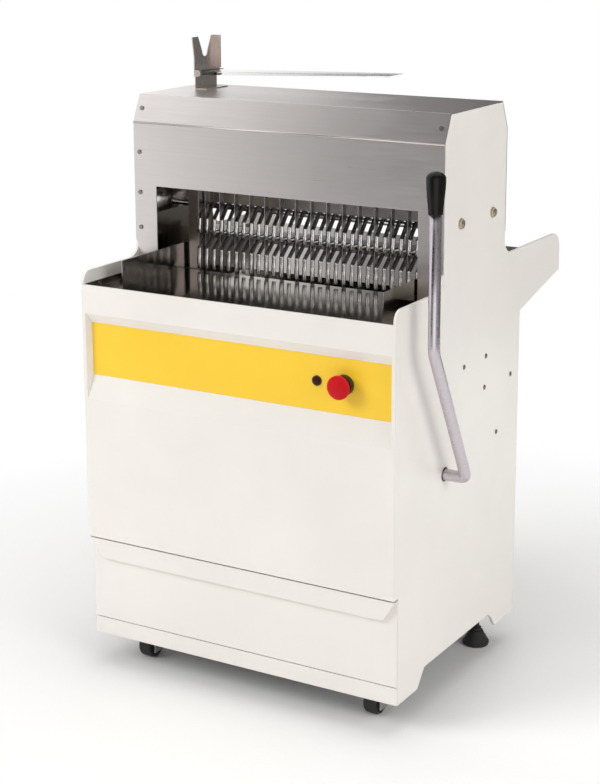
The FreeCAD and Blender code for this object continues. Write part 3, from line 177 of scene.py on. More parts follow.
def turned(profile, centre, axis="z", around=48):
    """Surface of revolution: each profile point (along, radius) becomes the ring
    centre + along * axis + radius * (cos t, sin t), and a zero radius becomes a closed pole."""
    profile = np.asarray(profile, float)
    angle = np.linspace(0, RING, around, endpoint=False)
    ring = profile[profile[:, 1] > TOUCHING]
    along, radius = ring[:, :1], ring[:, 1:]
    points = np.stack((radius * np.cos(angle), radius * np.sin(angle), along + 0 * angle), axis=-1)
    points = points.reshape(-1, 3)
    faces = grid_faces(len(ring), around)
    for end, start in ((0, 0), (-1, (len(ring) - 1) * around)):
        if profile[end, 1] <= TOUCHING:
            faces += fan(start, around, len(points), flip=end == 0)
            points = np.vstack((points, (0, 0, profile[end, 0])))
    order = {"z": (0, 1, 2), "x": (2, 0, 1), "y": (1, 2, 0)}[axis]
    return points[:, order] + np.asarray(centre, float), faces


def bend(before, here, after, radius, steps):
    """Smooth bend at a corner between two neighbours: a parabola (1 - t)^2 a + 2 t (1 - t) b + t^2 c that
    starts and ends where an arc of the given radius would touch the two straights."""
    before, after = ((side - here) / np.linalg.norm(side - here) for side in (before, after))
    back = radius / math.tan(math.acos(np.clip(before @ after, -1, 1)) / 2)
    share = np.linspace(0, 1, steps)[:, None]
    return ((1 - share) ** 2 * (here + before * back) + 2 * share * (1 - share) * here
            + share ** 2 * (here + after * back))


def rounded_profile(corners, steps=5):
    """Profile through corners (along, radius, round): each inner corner is a bend of its own radius."""
    corners = np.asarray(corners, float)
    places = corners[:, :2]
    out = [places[:1]]
    for index in range(1, len(corners) - 1):
        if corners[index, 2] > 0:
            out.append(bend(*places[[index - 1, index, index + 1]], corners[index, 2], steps))
        else:
            out.append(places[index:index + 1])
    return np.vstack((*out, places[-1:]))


def rounded_path(corners, rounds, steps):
    """Path in space through corners, with each inner corner drawn as a smooth bend."""
    corners = np.asarray(corners, float)
    bends = [bend(*corners[index:index + 3], radius, steps) for index, radius in enumerate(rounds)]
    return np.vstack((corners[:1], *bends, corners[-1:]))


def swept(path, radius, around):
    """Round bar with flat ends: a circle of one radius carried along a path, square to its direction."""
    ahead = np.gradient(path, axis=0)
    ahead /= np.linalg.norm(ahead, axis=1)[:, None]
    side = np.zeros_like(path)
    first = np.cross(ahead[0], (0.3, 0.5, 0.81))
    side[0] = first / np.linalg.norm(first)
    for index in range(1, len(path)):
        moved = side[index - 1] - ahead[index] * (side[index - 1] @ ahead[index])
        side[index] = moved / np.linalg.norm(moved)
    other = np.cross(ahead, side)
    angle = np.linspace(0, RING, around, endpoint=False)[None, :, None]
    circle = np.cos(angle) * side[:, None, :] + np.sin(angle) * other[:, None, :]
    points = (path[:, None, :] + radius * circle).reshape(-1, 3)
    faces = grid_faces(len(path), around) + fan(0, around, len(points), flip=True)
    faces += fan((len(path) - 1) * around, around, len(points) + 1)
    return np.vstack((points, path[0], path[-1])), faces


def strip(path, width, thickness):
    """Bent flat strip: a (y, z) path thickened to both sides and drawn out along X."""
    ahead = np.gradient(path, axis=0)
    ahead /= np.linalg.norm(ahead, axis=1)[:, None]
    normal = np.stack((-ahead[:, 1], ahead[:, 0]), axis=1) * thickness / 2
    ring = [np.column_stack((np.full(len(path), x), path + off)) for x, off in (
        (-width / 2, normal), (width / 2, normal), (width / 2, -normal), (-width / 2, -normal))]
    points = np.stack(ring, axis=1).reshape(-1, 3)
    faces = grid_faces(len(path), 4, flip=True)
    last = (len(path) - 1) * 4
    faces += [[0, 1, 2, 3], [last + 3, last + 2, last + 1, last]]
    return points, faces


def prism(corners, low, high):
    """Straight prism along X of an outline of (y, z) corners, between two places."""
    corners = np.asarray(corners, float)
    count = len(corners)
    points = np.vstack([np.column_stack((np.full(count, place), corners)) for place in (low, high)])
    ring = np.arange(count)
    after = (ring + 1) % count
    faces = np.stack((ring, after, after + count, ring + count), axis=1)
    return points, faces.tolist() + [ring[::-1].tolist(), (ring + count).tolist()]


def facing(part, centre, ahead):
    """Part drawn with +Z outwards from the origin, turned so that +Z is ahead and moved to a centre."""
    points, faces = part
    ahead = np.asarray(ahead, float) / np.linalg.norm(ahead)
    side = np.cross((0.0, 0.0, 1.0) if abs(ahead[2]) < 0.9 else (1.0, 0.0, 0.0), ahead)
    side /= np.linalg.norm(side)
    return points @ np.array((side, np.cross(ahead, side), ahead)) + np.asarray(centre, float), faces


def hexagon_nut(across, tall, start, around=48):
    """Hexagon nut along Z: at angle t its radius is half the width across its flats, divided by the
    cosine of the turn from the nearest flat's middle, and both ends are cut back to a round chamfer."""
    angle = np.arange(around) * RING / around
    flat = across / 2 / np.cos((angle + math.pi / 6) % (math.pi / 3) - math.pi / 6)
    rounded = across / 2 * 0.97
    chamfer = tall * 0.13
    rings = [(start, np.minimum(flat, rounded)), (start + chamfer, flat), (start + tall - chamfer, flat),
             (start + tall, np.minimum(flat, rounded))]
    points = [np.column_stack((radius * np.cos(angle), radius * np.sin(angle), np.full(around, place)))
              for place, radius in rings]
    points = np.vstack((*points, (0, 0, start), (0, 0, start + tall)))
    faces = grid_faces(len(rings), around) + fan(0, around, len(points) - 2, flip=True)
    return points, faces + fan((len(rings) - 1) * around, around, len(points) - 1)


def cross_head(radius, tall, around=32, rings=12):
    """Screw head along Z with a cross recess: a dome tall * sqrt(1 - (r / radius)^2 * 0.8), sunk where
    the smaller of |u| and |v| is under the slot's half width and the larger is inside the slot's reach."""
    out = np.linspace(0, 1, rings) ** 0.8 * radius
    angle = np.linspace(0, RING, around, endpoint=False)
    reach, turn = np.meshgrid(out[1:], angle, indexing="ij")
    across, along = reach * np.cos(turn), reach * np.sin(turn)
    dome = tall * np.sqrt(1 - (reach / radius) ** 2 * 0.8)
    small = np.minimum(abs(across), abs(along))
    large = np.maximum(abs(across), abs(along))
    sunk = (np.clip((radius * 0.2 - small) / (radius * 0.06), 0, 1)
            * np.clip((radius * 0.62 - large) / (radius * 0.1), 0, 1))
    height = dome - sunk * tall * 0.6
    top = np.stack((across, along, height), axis=-1)
    foot = np.column_stack((radius * np.cos(angle), radius * np.sin(angle), np.zeros(around)))
    points = np.vstack((top.reshape(-1, 3), foot, (0, 0, tall * 0.4), (0, 0, 0)))
    faces = grid_faces(rings, around) + fan(0, around, len(points) - 2)
    return points, faces + fan((rings - 1) * around, around, len(points) - 1, flip=True)


def shell(part, name, body, finish, nodes=(), smooth=True):
    """Closed piece of a (points, faces) pair, with its faces turned outwards. It rides on a body and may
    replace frame nodes."""
    points, faces = part
    mesh = bpy.data.meshes.new(name)
    mesh.from_pydata(points.tolist(), [], faces)
    work = bmesh.new()
    work.from_mesh(mesh)
    bmesh.ops.remove_doubles(work, verts=work.verts, dist=WELDED)
    bmesh.ops.recalc_face_normals(work, faces=work.faces)
    work.to_mesh(mesh)
    work.free()
    mesh.polygons.foreach_set("use_smooth", np.full(len(mesh.polygons), smooth))
    mesh.materials.append(FINISHES[finish])
    piece = bpy.data.objects.new(name, mesh)
    bpy.context.scene.collection.objects.link(piece)
    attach(piece, body)
    if nodes:
        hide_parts(*nodes)


# ---- finishes

def wire(tree, kind, values=(), **settings):
    """Shader node of one kind, with its settings, and with its inputs set or linked."""
    node = tree.nodes.new("ShaderNode" + kind)
    for name, value in settings.items():
        setattr(node, name, value)
    for name, value in dict(values).items():
        if isinstance(value, bpy.types.NodeSocket):
            tree.links.new(value, node.inputs[name])
        else:
            node.inputs[name].default_value = value
    return node


def maths(tree, operation, *values):
    """Output of one math node."""
    return wire(tree, "Math", enumerate(values), operation=operation).outputs[0]


def blended(tree, factor, first, second):
    """Colour output of one mix node."""
    return wire(tree, "Mix", {0: factor, 6: first, 7: second}, data_type="RGBA").outputs[2]


def spread(tree, value, low, high, to_low=0.0, to_high=1.0):
    """Map a range of a value to another range, held at its ends."""
    return wire(tree, "MapRange", enumerate((value, low, high, to_low, to_high))).outputs[0]


def noise(tree, place, scale, **settings):
    """Output of one noise texture; its further inputs are given by name."""
    return wire(tree, "TexNoise", {"Vector": place, "Scale": scale, **settings}).outputs[0]


def bumped(tree, height, strength, distance, normal=None):
    """Normal of a surface that a height raises, over a normal that is there already."""
    values = {"Height": height, "Strength": strength, "Distance": distance}
    return wire(tree, "Bump", values | ({"Normal": normal} if normal else {})).outputs[0]


def linked(tree, node, **ends):
    """Link sockets to the inputs of a node, by name."""
    for label, socket in ends.items():
        tree.links.new(socket, node.inputs[label])


def seen_directly(tree):
    """1 where the camera sees a surface plainly, in a mirror or through glass, and 0 for soft light."""
    path = wire(tree, "LightPath").outputs
    return maths(tree, "MAXIMUM", path["Is Camera Ray"],
                 maths(tree, "MAXIMUM", path["Is Glossy Ray"], path["Is Transmission Ray"]))


def group(name, inputs, values, vectors=()):
    """Empty shader node group with float inputs and their defaults, and with outputs of two kinds."""
    tree = bpy.data.node_groups.new(name, "ShaderNodeTree")
    for label, default in inputs.items():
        socket = tree.interface.new_socket(label, in_out="INPUT", socket_type="NodeSocketFloat")
        socket.default_value = default
    for labels, kind in ((vectors, "NodeSocketVector"), (values, "NodeSocketFloat")):
        for label in labels:
            tree.interface.new_socket(label, in_out="OUTPUT", socket_type=kind)
    return tree, tree.nodes.new("NodeGroupInput"), tree.nodes.new("NodeGroupOutput")


def sprayed_skin():
    """Fine orange-peel of sprayed enamel, with a broad faint unevenness and light handling marks."""
    tree, given, result = group("sprayed_skin", {"Peel size": 700.0, "Patch size": 5.0},
                                ("Peel", "Patches", "Marks"))
    place = wire(tree, "TexCoord").outputs["Object"]
    peel = noise(tree, place, given.outputs["Peel size"], Detail=2.0, Roughness=0.5)
    patches = noise(tree, place, given.outputs["Patch size"], Detail=3.0, Roughness=0.6)
    marks = noise(tree, place, 42.0, Detail=6.0, Roughness=0.7, Distortion=0.8)
    linked(tree, result, Peel=peel, Patches=patches, Marks=spread(tree, marks, 0.55, 0.75))
    return tree


def brushed_grain():
    """Long fine scratches of rolled or polished steel: noise whose scale differs along each axis."""
    tree, given, result = group("brushed_grain", {"Along X": 9.0, "Along Y": 900.0, "Along Z": 900.0},
                                ("Streak", "Scratch", "Smudge"))
    place = wire(tree, "TexCoord").outputs["Object"]
    scale = wire(tree, "CombineXYZ", {index: given.outputs[index] for index in range(3)}).outputs[0]
    stretched = wire(tree, "VectorMath", {0: place, 1: scale}, operation="MULTIPLY").outputs[0]
    linked(tree, result, Streak=noise(tree, stretched, 0.35, Detail=3.0),
           Scratch=noise(tree, stretched, 1.7, Detail=1.0),
           Smudge=noise(tree, place, 7.0, Detail=4.0, Distortion=0.5))
    return tree


def worn_edge():
    """Rounded edge normal, and a mask that is 1 where the surface turns sharply."""
    tree, given, result = group("worn_edge", {"Radius": 0.0012}, ("Edge",), ("Normal",))
    soft = wire(tree, "Bevel", {"Radius": given.outputs["Radius"]}, samples=6).outputs[0]
    flat = wire(tree, "NewGeometry").outputs["Normal"]
    along = wire(tree, "VectorMath", {0: soft, 1: flat}, operation="DOT_PRODUCT").outputs["Value"]
    linked(tree, result, Normal=soft, Edge=spread(tree, maths(tree, "SUBTRACT", 1.0, along), 0.02, 0.2))
    return tree


GROUPS = {}


def placed_group(tree, name, values=()):
    """Outputs of one of the shared groups, placed in a material with its own values."""
    if name not in GROUPS:
        GROUPS[name] = {"sprayed_skin": sprayed_skin, "brushed_grain": brushed_grain,
                        "worn_edge": worn_edge}[name]()
    return wire(tree, "Group", values, node_tree=GROUPS[name]).outputs


def new_finish(name):
    """Material with an empty node tree and its output."""
    material = bpy.data.materials.new(name)
    material.use_nodes = True
    tree = material.node_tree
    tree.nodes.clear()
    return material, tree, wire(tree, "OutputMaterial")


def covered(material, tree, out, values):
    """The material, with one principled shader of these values on its surface."""
    linked(tree, out, Surface=wire(tree, "BsdfPrincipled", values).outputs[0])
    return material


def shade(colour, factor):
    """Colour made lighter or darker by a factor."""
    return (*(min(1.0, part * factor) for part in colour[:3]), 1.0)


def chamber_mask(tree):
    """1 on the inner walls of the blade chamber and 0 elsewhere: a product of one step for each limit."""
    place = wire(tree, "SeparateXYZ", {0: wire(tree, "TexCoord").outputs["Object"]})
    low, high = box("hood_shell")
    across = maths(tree, "ABSOLUTE", maths(tree, "SUBTRACT", place.outputs[0], MID_X))
    mask = maths(tree, "LESS_THAN", across, (high[0] - low[0]) / 2 - CHAMBER_SHADE["ends"])
    for limit, kind, value in ((1, "GREATER_THAN", low[1] + CHAMBER_SHADE["edges"]),
                               (1, "LESS_THAN", high[1] - CHAMBER_SHADE["edges"]),
                               (2, "GREATER_THAN", box("outfeed_tray")[0][2])):
        mask = maths(tree, "MULTIPLY", mask, maths(tree, kind, place.outputs[limit], float(value)))
    return mask


def enamel(name, colour, roughness=0.32, worn=0.25, coat=0.15, painted_chamber_shade=None):
    """Sprayed enamel on sheet steel: peel in the surface, faint patches in the colour, thinner paint on
    edges. A chamber shade colour makes the inner walls of the blade chamber smooth metal and paints them
    dark, as painted shade."""
    material, tree, out = new_finish(name)
    skin = placed_group(tree, "sprayed_skin")
    corner = placed_group(tree, "worn_edge", {"Radius": 0.0014})
    tone = spread(tree, skin["Patches"], 0.3, 0.7)
    base = blended(tree, tone, shade(colour, 0.965), shade(colour, 1.02))
    base = blended(tree, maths(tree, "MULTIPLY", corner["Edge"], worn), base, shade(colour, 0.8))
    gloss = spread(tree, skin["Marks"], 0.0, 1.0, roughness, roughness + 0.12)
    values = {"Base Color": base, "Roughness": gloss, "Coat Weight": coat, "Coat Roughness": 0.12,
              "Normal": bumped(tree, skin["Peel"], 0.18, 0.0002, corner["Normal"])}
    if painted_chamber_shade:
        # The blade chamber's inner walls become smooth metal, and their dark colour is painted shade.
        bare_shaded_wall = chamber_mask(tree)
        values["Base Color"] = blended(tree, bare_shaded_wall, base, painted_chamber_shade)
        values["Roughness"] = maths(tree, "MULTIPLY", gloss, spread(tree, bare_shaded_wall, 0.0, 1.0, 1.0, 0.6))
        values["Metallic"] = bare_shaded_wall
    return covered(material, tree, out, values)


def sheet_steel(name, colour, roughness, grain=(9, 900, 900), rise=0.00004, edge=0.001, smear=0.08,
                streaks=0.06):
    """Brushed or rolled steel sheet: long scratches in the gloss, smudges, and edges lighter in colour,
    partly wear and partly a painted highlight.
    """
    material, tree, out = new_finish(name)
    marks = placed_group(tree, "brushed_grain", zip(("Along X", "Along Y", "Along Z"), grain))
    tone = spread(tree, marks["Streak"], 0.3, 0.7)
    base = blended(tree, tone, shade(colour, 1 - streaks), shade(colour, 1 + streaks))
    smudge = spread(tree, marks["Smudge"], 0.35, 0.7, 0.0, smear)
    scratch = spread(tree, marks["Scratch"], 0.3, 0.7, roughness * 0.85, roughness * 1.15)
    normal = None
    if edge:
        corner = placed_group(tree, "worn_edge", {"Radius": edge})
        # Edges lightened in colour: worn bright, and a painted highlight along folds and edges.
        base = blended(tree, maths(tree, "MULTIPLY", corner["Edge"], 0.5), base, shade(colour, 1.2))
        normal = corner["Normal"]
    return covered(material, tree, out, {
        "Base Color": base, "Roughness": maths(tree, "ADD", scratch, smudge), "Metallic": 1.0,
        "Normal": bumped(tree, marks["Scratch"], 0.25, rise, normal)})


def moulded(name, colour, roughness, texture=0.00008, gleam=0.5):
    """Moulded plastic or rubber: fine pitting in gloss and height, dust settled in faint patches."""
    material, tree, out = new_finish(name)
    skin = placed_group(tree, "sprayed_skin", {"Peel size": 1400.0, "Patch size": 18.0})
    corner = placed_group(tree, "worn_edge", {"Radius": 0.0006})
    tone = spread(tree, skin["Patches"], 0.3, 0.75)
    base = blended(tree, tone, shade(colour, 0.88), shade(colour, 1.1))
    return covered(material, tree, out, {
        # Edges lightened in colour: a painted sheen as well as wear.
        "Base Color": blended(tree, maths(tree, "MULTIPLY", corner["Edge"], 0.3), base, shade(colour, 1.5)),
        "Roughness": spread(tree, skin["Marks"], 0.0, 1.0, roughness, roughness + 0.15),
        "Normal": bumped(tree, skin["Peel"], 0.3, texture, corner["Normal"]), "Specular IOR Level": gleam})


def rough_cast(name, colour):
    """Painted casting: coarse sand texture in height, colour and gloss."""
    material, tree, out = new_finish(name)
    skin = placed_group(tree, "sprayed_skin", {"Peel size": 320.0, "Patch size": 26.0})
    tone = spread(tree, skin["Patches"], 0.3, 0.7)
    return covered(material, tree, out, {
        "Base Color": blended(tree, tone, shade(colour, 0.75), shade(colour, 1.2)),
        "Roughness": spread(tree, skin["Marks"], 0.0, 1.0, 0.5, 0.7), "Metallic": 0.3,
        "Normal": bumped(tree, skin["Peel"], 0.6, 0.0008)})


def clear_sheet(name, colour):
    """Clear plastic sheet with faint rubbing marks in its gloss."""
    material, tree, out = new_finish(name)
    skin = placed_group(tree, "sprayed_skin", {"Patch size": 12.0})
    tone = spread(tree, skin["Patches"], 0.3, 0.7)
    return covered(material, tree, out, {
        "Base Color": blended(tree, tone, shade(colour, 0.97), shade(colour, 1.0)),
        "Roughness": spread(tree, skin["Marks"], 0.0, 1.0, 0.05, 0.2), "Transmission Weight": 1.0,
        "IOR": 1.1})


def length(name, description, default, least):
    """Length that a user may change."""
    return bpy.props.FloatProperty(name=name, description=description, default=default, min=least,
                                   unit="LENGTH")


def tint(name, description, default):
    """Colour that a user may change."""
    return bpy.props.FloatVectorProperty(name=name, description=description, default=(*default, 1.0),
                                         size=4, subtype="COLOR", min=0, max=1)


class SlicerSizes(bpy.types.PropertyGroup):
    """Sizes of the shaped pieces that a user may change."""
    bar_bend: length("Lever bend", "Radius of the bend halfway up the lever bar", 0.05, 0.01)
    elbow: length("Lever elbow", "Radius of the elbow at the lever's foot", 0.012, 0.004)
    hook_width: length("Hook width", "Width of each bent hook and finger", 0.0075, 0.002)
    hook_steel: length("Hook thickness", "Thickness of the hooks' strip", 0.0018, 0.0005)
    hook_pitch: length("Hook pitch", "Distance from one hook to the next", 0.016, 0.005)
    hook_bow: length("Hook bow", "How far each hook's upright strip bows to the front", 0.0018, 0.0)
    lip_proud: length("Hood lip", "How far the hood's lapped lip stands out", 0.0018, 0.0004)


class SlicerColours(bpy.types.PropertyGroup):
    """Colours of the finishes that a user may change."""
    panel_white: tint("Panel enamel", "Warm white of the cabinet panels", (0.86, 0.825, 0.775))
    band_yellow: tint("Control band", "Warm yellow of the control band", (0.98, 0.63, 0.030))
    stop_red: tint("Stop button", "Red of the mushroom stop button", (0.56, 0.002, 0.008))
    hood_steel: tint("Hood steel", "Tone of the brushed hood", (0.73, 0.69, 0.675))


def sizes():
    """The sizes that are set in the scene."""
    return bpy.context.scene.slicer_sizes


FINISHES = {}
# Every finish: its kind, its colour or the name of the colour that a user may change, the settings that
# differ from its kind's own, and the frame nodes that wear it.
FINISH_PLAN = {
    "panel_enamel": (enamel, "panel_white", {}, (
        "front_panel", "plinth_panel", "back_panel", "drawer_front")),
    # The side panels' dark colour on the blade chamber's inner walls is painted shade.
    "side_enamel": (enamel, "panel_white", {"painted_chamber_shade": (0.33, 0.29, 0.24, 1)}, (
        "side_panel_left", "side_panel_right")),
    "band_enamel": (enamel, "band_yellow", {"roughness": 0.4, "worn": 0.1, "coat": 0.0}, ("control_band",)),
    "grey_enamel": (enamel, (0.22, 0.225, 0.23), {"roughness": 0.5}, (
        "base_plate", "drive_deck", "panel_braces", "drawer_runners")),
    "hood_steel": (sheet_steel, "hood_steel", {
        "roughness": 0.32, "rise": 0.00001, "smear": 0.04, "streaks": 0.02}, ("hood_shell",)),
    "fork_steel": (sheet_steel, (0.62, 0.55, 0.51), {
        "roughness": 0.3, "grain": (300, 300, 40), "streaks": 0.04}, ("bag_bracket", "bag_fork")),
    "table_steel": (sheet_steel, (0.56, 0.54, 0.52), {"roughness": 0.25, "smear": 0.06}, (
        "infeed_table", "drawer_pan")),
    "tray_steel": (sheet_steel, (0.46, 0.43, 0.40), {
        "roughness": 0.10, "grain": (60, 9, 60), "rise": 0.00002, "smear": 0.04}, (
            "outfeed_tray", "side_guides")),
    "bright_steel": (sheet_steel, (0.78, 0.75, 0.73), {
        "roughness": 0.2, "grain": (500, 60, 60), "rise": 0.00001}, ("pusher_fingers", "hold_down_comb")),
    "chrome_steel": (sheet_steel, (0.60, 0.56, 0.595), {
        "roughness": 0.3, "grain": (120, 120, 120), "rise": 0.000001, "edge": 0.0, "smear": 0.02,
        "streaks": 0.01}, ("lever_bar", "lever_shaft")),
    "knife_steel": (sheet_steel, (0.52, 0.51, 0.50), {"roughness": 0.28, "grain": (300, 300, 6)}, (
        "front_blades", "rear_blades")),
    "frame_steel": (sheet_steel, (0.66, 0.60, 0.56), {"roughness": 0.35, "grain": (60, 60, 9)}, (
        "front_blade_frame", "rear_blade_frame")),
    "turned_steel": (sheet_steel, (0.50, 0.49, 0.48), {"roughness": 0.3, "grain": (120, 120, 120)}, (
        "lever_arms", "pusher_guide_rods", "rod_brackets", "pusher_carriages", "pusher_beam", "crankshaft",
        "front_rods", "rear_rods", "motor_shaft", "foot_nuts", "bag_hinge_rod", "castor_forks")),
    "bolt_steel": (sheet_steel, (0.62, 0.55, 0.42), {"roughness": 0.28, "grain": (90, 500, 500)}, (
        "comb_bolts",)),
    "dark_screw": (sheet_steel, (0.30, 0.28, 0.27), {"roughness": 0.35, "grain": (200, 200, 200)}, (
        "side_screws", "cover_screws")),
    "light_alloy": (sheet_steel, (0.68, 0.68, 0.69), {"roughness": 0.35, "grain": (90, 400, 400)}, (
        "driven_pulley", "motor_pulley")),
    "cast_paint": (rough_cast, (0.10, 0.12, 0.14), {}, ("crank_bearings", "motor_housing")),
    "stop_red": (moulded, "stop_red", {"roughness": 0.5, "gleam": 0.2}, ("stop_button",)),
    "start_maroon": (moulded, (0.05, 0.004, 0.003), {"roughness": 0.5, "gleam": 0.2}, ("start_button",)),
    "gloss_black": (moulded, (0.007, 0.006, 0.005), {"roughness": 0.2, "texture": 0.00002, "gleam": 0.2}, (
        "lever_grip",)),
    "dull_black": (moulded, (0.020, 0.019, 0.018), {"roughness": 0.45}, (
        "stop_collar", "start_collar", "switch_blocks", "cable_gland", "frame_guides", "lever_bushes")),
    "black_rubber": (moulded, (0.018, 0.017, 0.016), {"roughness": 0.6, "texture": 0.00015}, (
        "castor_wheel_left", "castor_wheel_right", "foot_left", "foot_right", "drive_belt")),
    "clear_flap": (clear_sheet, (0.96, 0.955, 0.95), {}, ("bag_flap",)),
}


class SLICER_OT_finishes(bpy.types.Operator):
    """Make every finish once and give it to its nodes of the frame"""
    bl_idname = "slicer.finishes"
    bl_label = "Finishes"

    def execute(self, context):
        for name, (kind, colour, settings, nodes) in FINISH_PLAN.items():
            if isinstance(colour, str):
                colour = getattr(context.scene.slicer_colours, colour)
            FINISHES[name] = kind(name, colour, **settings)
            for node in nodes:
                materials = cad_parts[node].data.materials
                for index in range(len(materials)):
                    materials[index] = FINISHES[name]
        return {"FINISHED"}


class SLICER_OT_lever(bpy.types.Operator):
    """Bent lever bar with its elbow, and the turned grip on its end"""
    bl_idname = "slicer.lever"
    bl_label = "Feed lever"

    def execute(self, context):
        low, high = box("lever_grip")
        x, y, _ = middle("lever_grip")
        _, shaft_y, shaft_z = middle("lever_shaft")
        start = box("side_panel_right")[1][0] + LEVER["clear"]
        corners = [(start, shaft_y, shaft_z), (x, shaft_y, shaft_z), (x, y, LEVER["bend_up"]),
                   (x, y, low[2] + LEVER["sunk"])]
        path = rounded_path(corners, [sizes().elbow, sizes().bar_bend], steps=12)
        part = swept(path, LEVER["radius"], 32)
        shell(part, "lever_bent_bar", "lever", nodes=("lever_bar",),
              finish="chrome_steel")
        # The grip's radius grows by sin(share of the way * pi / 2) to the power 1.5, up to a dome that is
        # a quarter of an ellipse.
        wide = (high[0] - low[0]) / 2
        share = np.linspace(0, 1, 26)
        flare = GRIP["neck"] + (wide - GRIP["neck"]) * np.sin(share * math.pi / 2) ** 1.5
        along = low[2] + GRIP["lead"] + share * (high[2] - low[2] - GRIP["lead"] - GRIP["dome"])
        dome = np.linspace(0, math.pi / 2, 10)[1:]
        top = along[-1]
        profile = np.vstack((
            [(low[2], 0.0)], [(low[2], GRIP["foot"])], np.column_stack((along, flare)),
            np.column_stack((top + (high[2] - top) * np.sin(dome), wide * np.cos(dome)))))
        profile[-1, 1] = 0.0
        part = turned(profile, (x, y, 0))
        shell(part, "lever_knob", "lever", nodes=("lever_grip",),
              finish="gloss_black")
        return {"FINISHED"}


class SLICER_OT_buttons(bpy.types.Operator):
    """Domed mushroom head of the stop button, and the small start button"""
    bl_idname = "slicer.buttons"
    bl_label = "Buttons"

    def execute(self, context):
        low, high = box("stop_button")
        centre = middle("stop_button")
        radius = (high[0] - low[0]) / 2
        front = low[1]
        back = [(front + along, wide, rounding) for along, wide, rounding in STOP_BACK]
        rim = [(front + along, radius, rounding) for along, rounding in STOP_RIM]
        profile = rounded_profile([(high[1], 0.0, 0), (high[1], STOP_STEM, 0), *back, *rim], 6)
        # The crown is most of a quarter of an ellipse: (1 - sin t) of the rim's depth, cos t of its radius.
        dome = np.linspace(0.2, math.pi / 2, 12)
        crown = np.column_stack((front + STOP_RIM[-1][0] * (1 - np.sin(dome)) * 0.98,
                                 radius * np.cos(dome) * 1.02))
        crown[-1] = (front, 0.0)
        part = turned(np.vstack((profile, crown)), (centre[0], 0, centre[2]), axis="y")
        shell(part, "stop_mushroom", "stop", nodes=("stop_button",),
              finish="stop_red")
        low, high = box("start_button")
        centre = middle("start_button")
        radius = (high[0] - low[0]) / 2
        front = low[1]
        profile = rounded_profile([
            (high[1], 0.0, 0), (high[1], radius * 0.9, 0), (front + 0.004, radius, 0.001),
            (front + 0.0006, radius * 0.93, 0.0012), (front, radius * 0.3, 0.001), (front, 0.0, 0)])
        part = turned(profile, (centre[0], 0, centre[2]), axis="y", around=36)
        shell(part, "start_push", "start", nodes=("start_button",),
              finish="start_maroon")
        return {"FINISHED"}


def bowed(top, foot, bow, steps=9):
    """Upright strip's (y, z) line from top to foot, pushed to the front by bow * sin(pi * share)."""
    share = np.linspace(0, 1, steps)[:, None]
    line = np.asarray(top) + (np.asarray(foot) - np.asarray(top)) * share
    return line - np.column_stack((bow * np.sin(math.pi * share[:, 0]), np.zeros(steps)))


def in_row(part):
    """Copies of a part across the pusher's width, one for each finger at the hooks' pitch."""
    low, high = box("pusher_fingers")
    count = round((high[0] - low[0] - ROW_ENDS) / sizes().hook_pitch) + 1
    places = (np.arange(count) - (count - 1) / 2) * sizes().hook_pitch
    return repeated(part, np.column_stack((places + ORIGIN[0], np.zeros(count), np.zeros(count))))


class SLICER_OT_comb(bpy.types.Operator):
    """Hold-down comb: curled hooks on a round bar, between a plate inside each panel"""
    bl_idname = "slicer.comb"
    bl_label = "Hold-down comb"

    def execute(self, context):
        low, high = box("hold_down_comb")
        bar = ORIGIN[1:] + COMB["bar"]
        inner = high[0] - ORIGIN[0] - COMB["plate"]
        rod = turned([(-inner, 0), (-inner, COMB["radius"]), (inner, COMB["radius"]), (inner, 0)],
                     (ORIGIN[0], *bar), axis="x", around=24)
        # A hook starts as an arc over the bar, bends down at its knuckle and runs on as a bowed strip.
        angle = np.radians(np.linspace(-40, 139, 12))
        over = bar + COMB["curl"] * np.column_stack((np.cos(angle), np.sin(angle)))
        knuckle = ORIGIN[1:] + COMB["knuckle"]
        elbow = rounded_path([over[-1], knuckle, knuckle - (0, COMB["drop"])], [COMB["bend"]], steps=6)
        upright = bowed(elbow[-1], (knuckle[0], COMB["foot_up"]), sizes().hook_bow)
        hook = strip(np.vstack((over[:-1], elbow[:-1], upright)), sizes().hook_width, sizes().hook_steel)
        corners = [(low[1], COMB["plate_up"]), (high[1], COMB["plate_up"]), high[1:], (low[1], high[2])]
        plates = [prism(corners, x, x + COMB["plate"]) for x in (low[0], high[0] - COMB["plate"])]
        part = merged([rod, in_row(hook), *plates])
        shell(part, "hold_down_hooks", "cabinet", nodes=("hold_down_comb",),
              finish="bright_steel")
        return {"FINISHED"}


class SLICER_OT_fingers(bpy.types.Operator):
    """Pusher fingers: bent strips on a rail along the pusher beam"""
    bl_idname = "slicer.fingers"
    bl_label = "Pusher fingers"

    def execute(self, context):
        low, high = box("pusher_fingers")
        front = low[1] + FINGER["front"]
        steel = sizes().hook_steel
        top = high[2] - steel / 2
        knuckle = np.array((front, FINGER["knuckle_up"]))
        corners = [(high[1] - 0.0005, top), (ORIGIN[1] + FINGER["back"], top), knuckle,
                   knuckle - (0, FINGER["drop"])]
        arm = rounded_path(corners, FINGER["bends"], steps=7)
        upright = bowed(arm[-1], (front, low[2]), sizes().hook_bow)
        finger = strip(np.vstack((arm[:-1], upright)), sizes().hook_width, steel)
        rail_y, rail_z = high[1] - FINGER["rail"], high[2] - FINGER["rail_tall"]
        rail = prism([(rail_y, rail_z), (high[1], rail_z), (high[1], high[2] - steel),
                      (rail_y, high[2] - steel)], low[0], high[0])
        part = merged([in_row(finger), rail])
        shell(part, "bent_fingers", "pusher", nodes=("pusher_fingers",),
              finish="bright_steel")
        return {"FINISHED"}


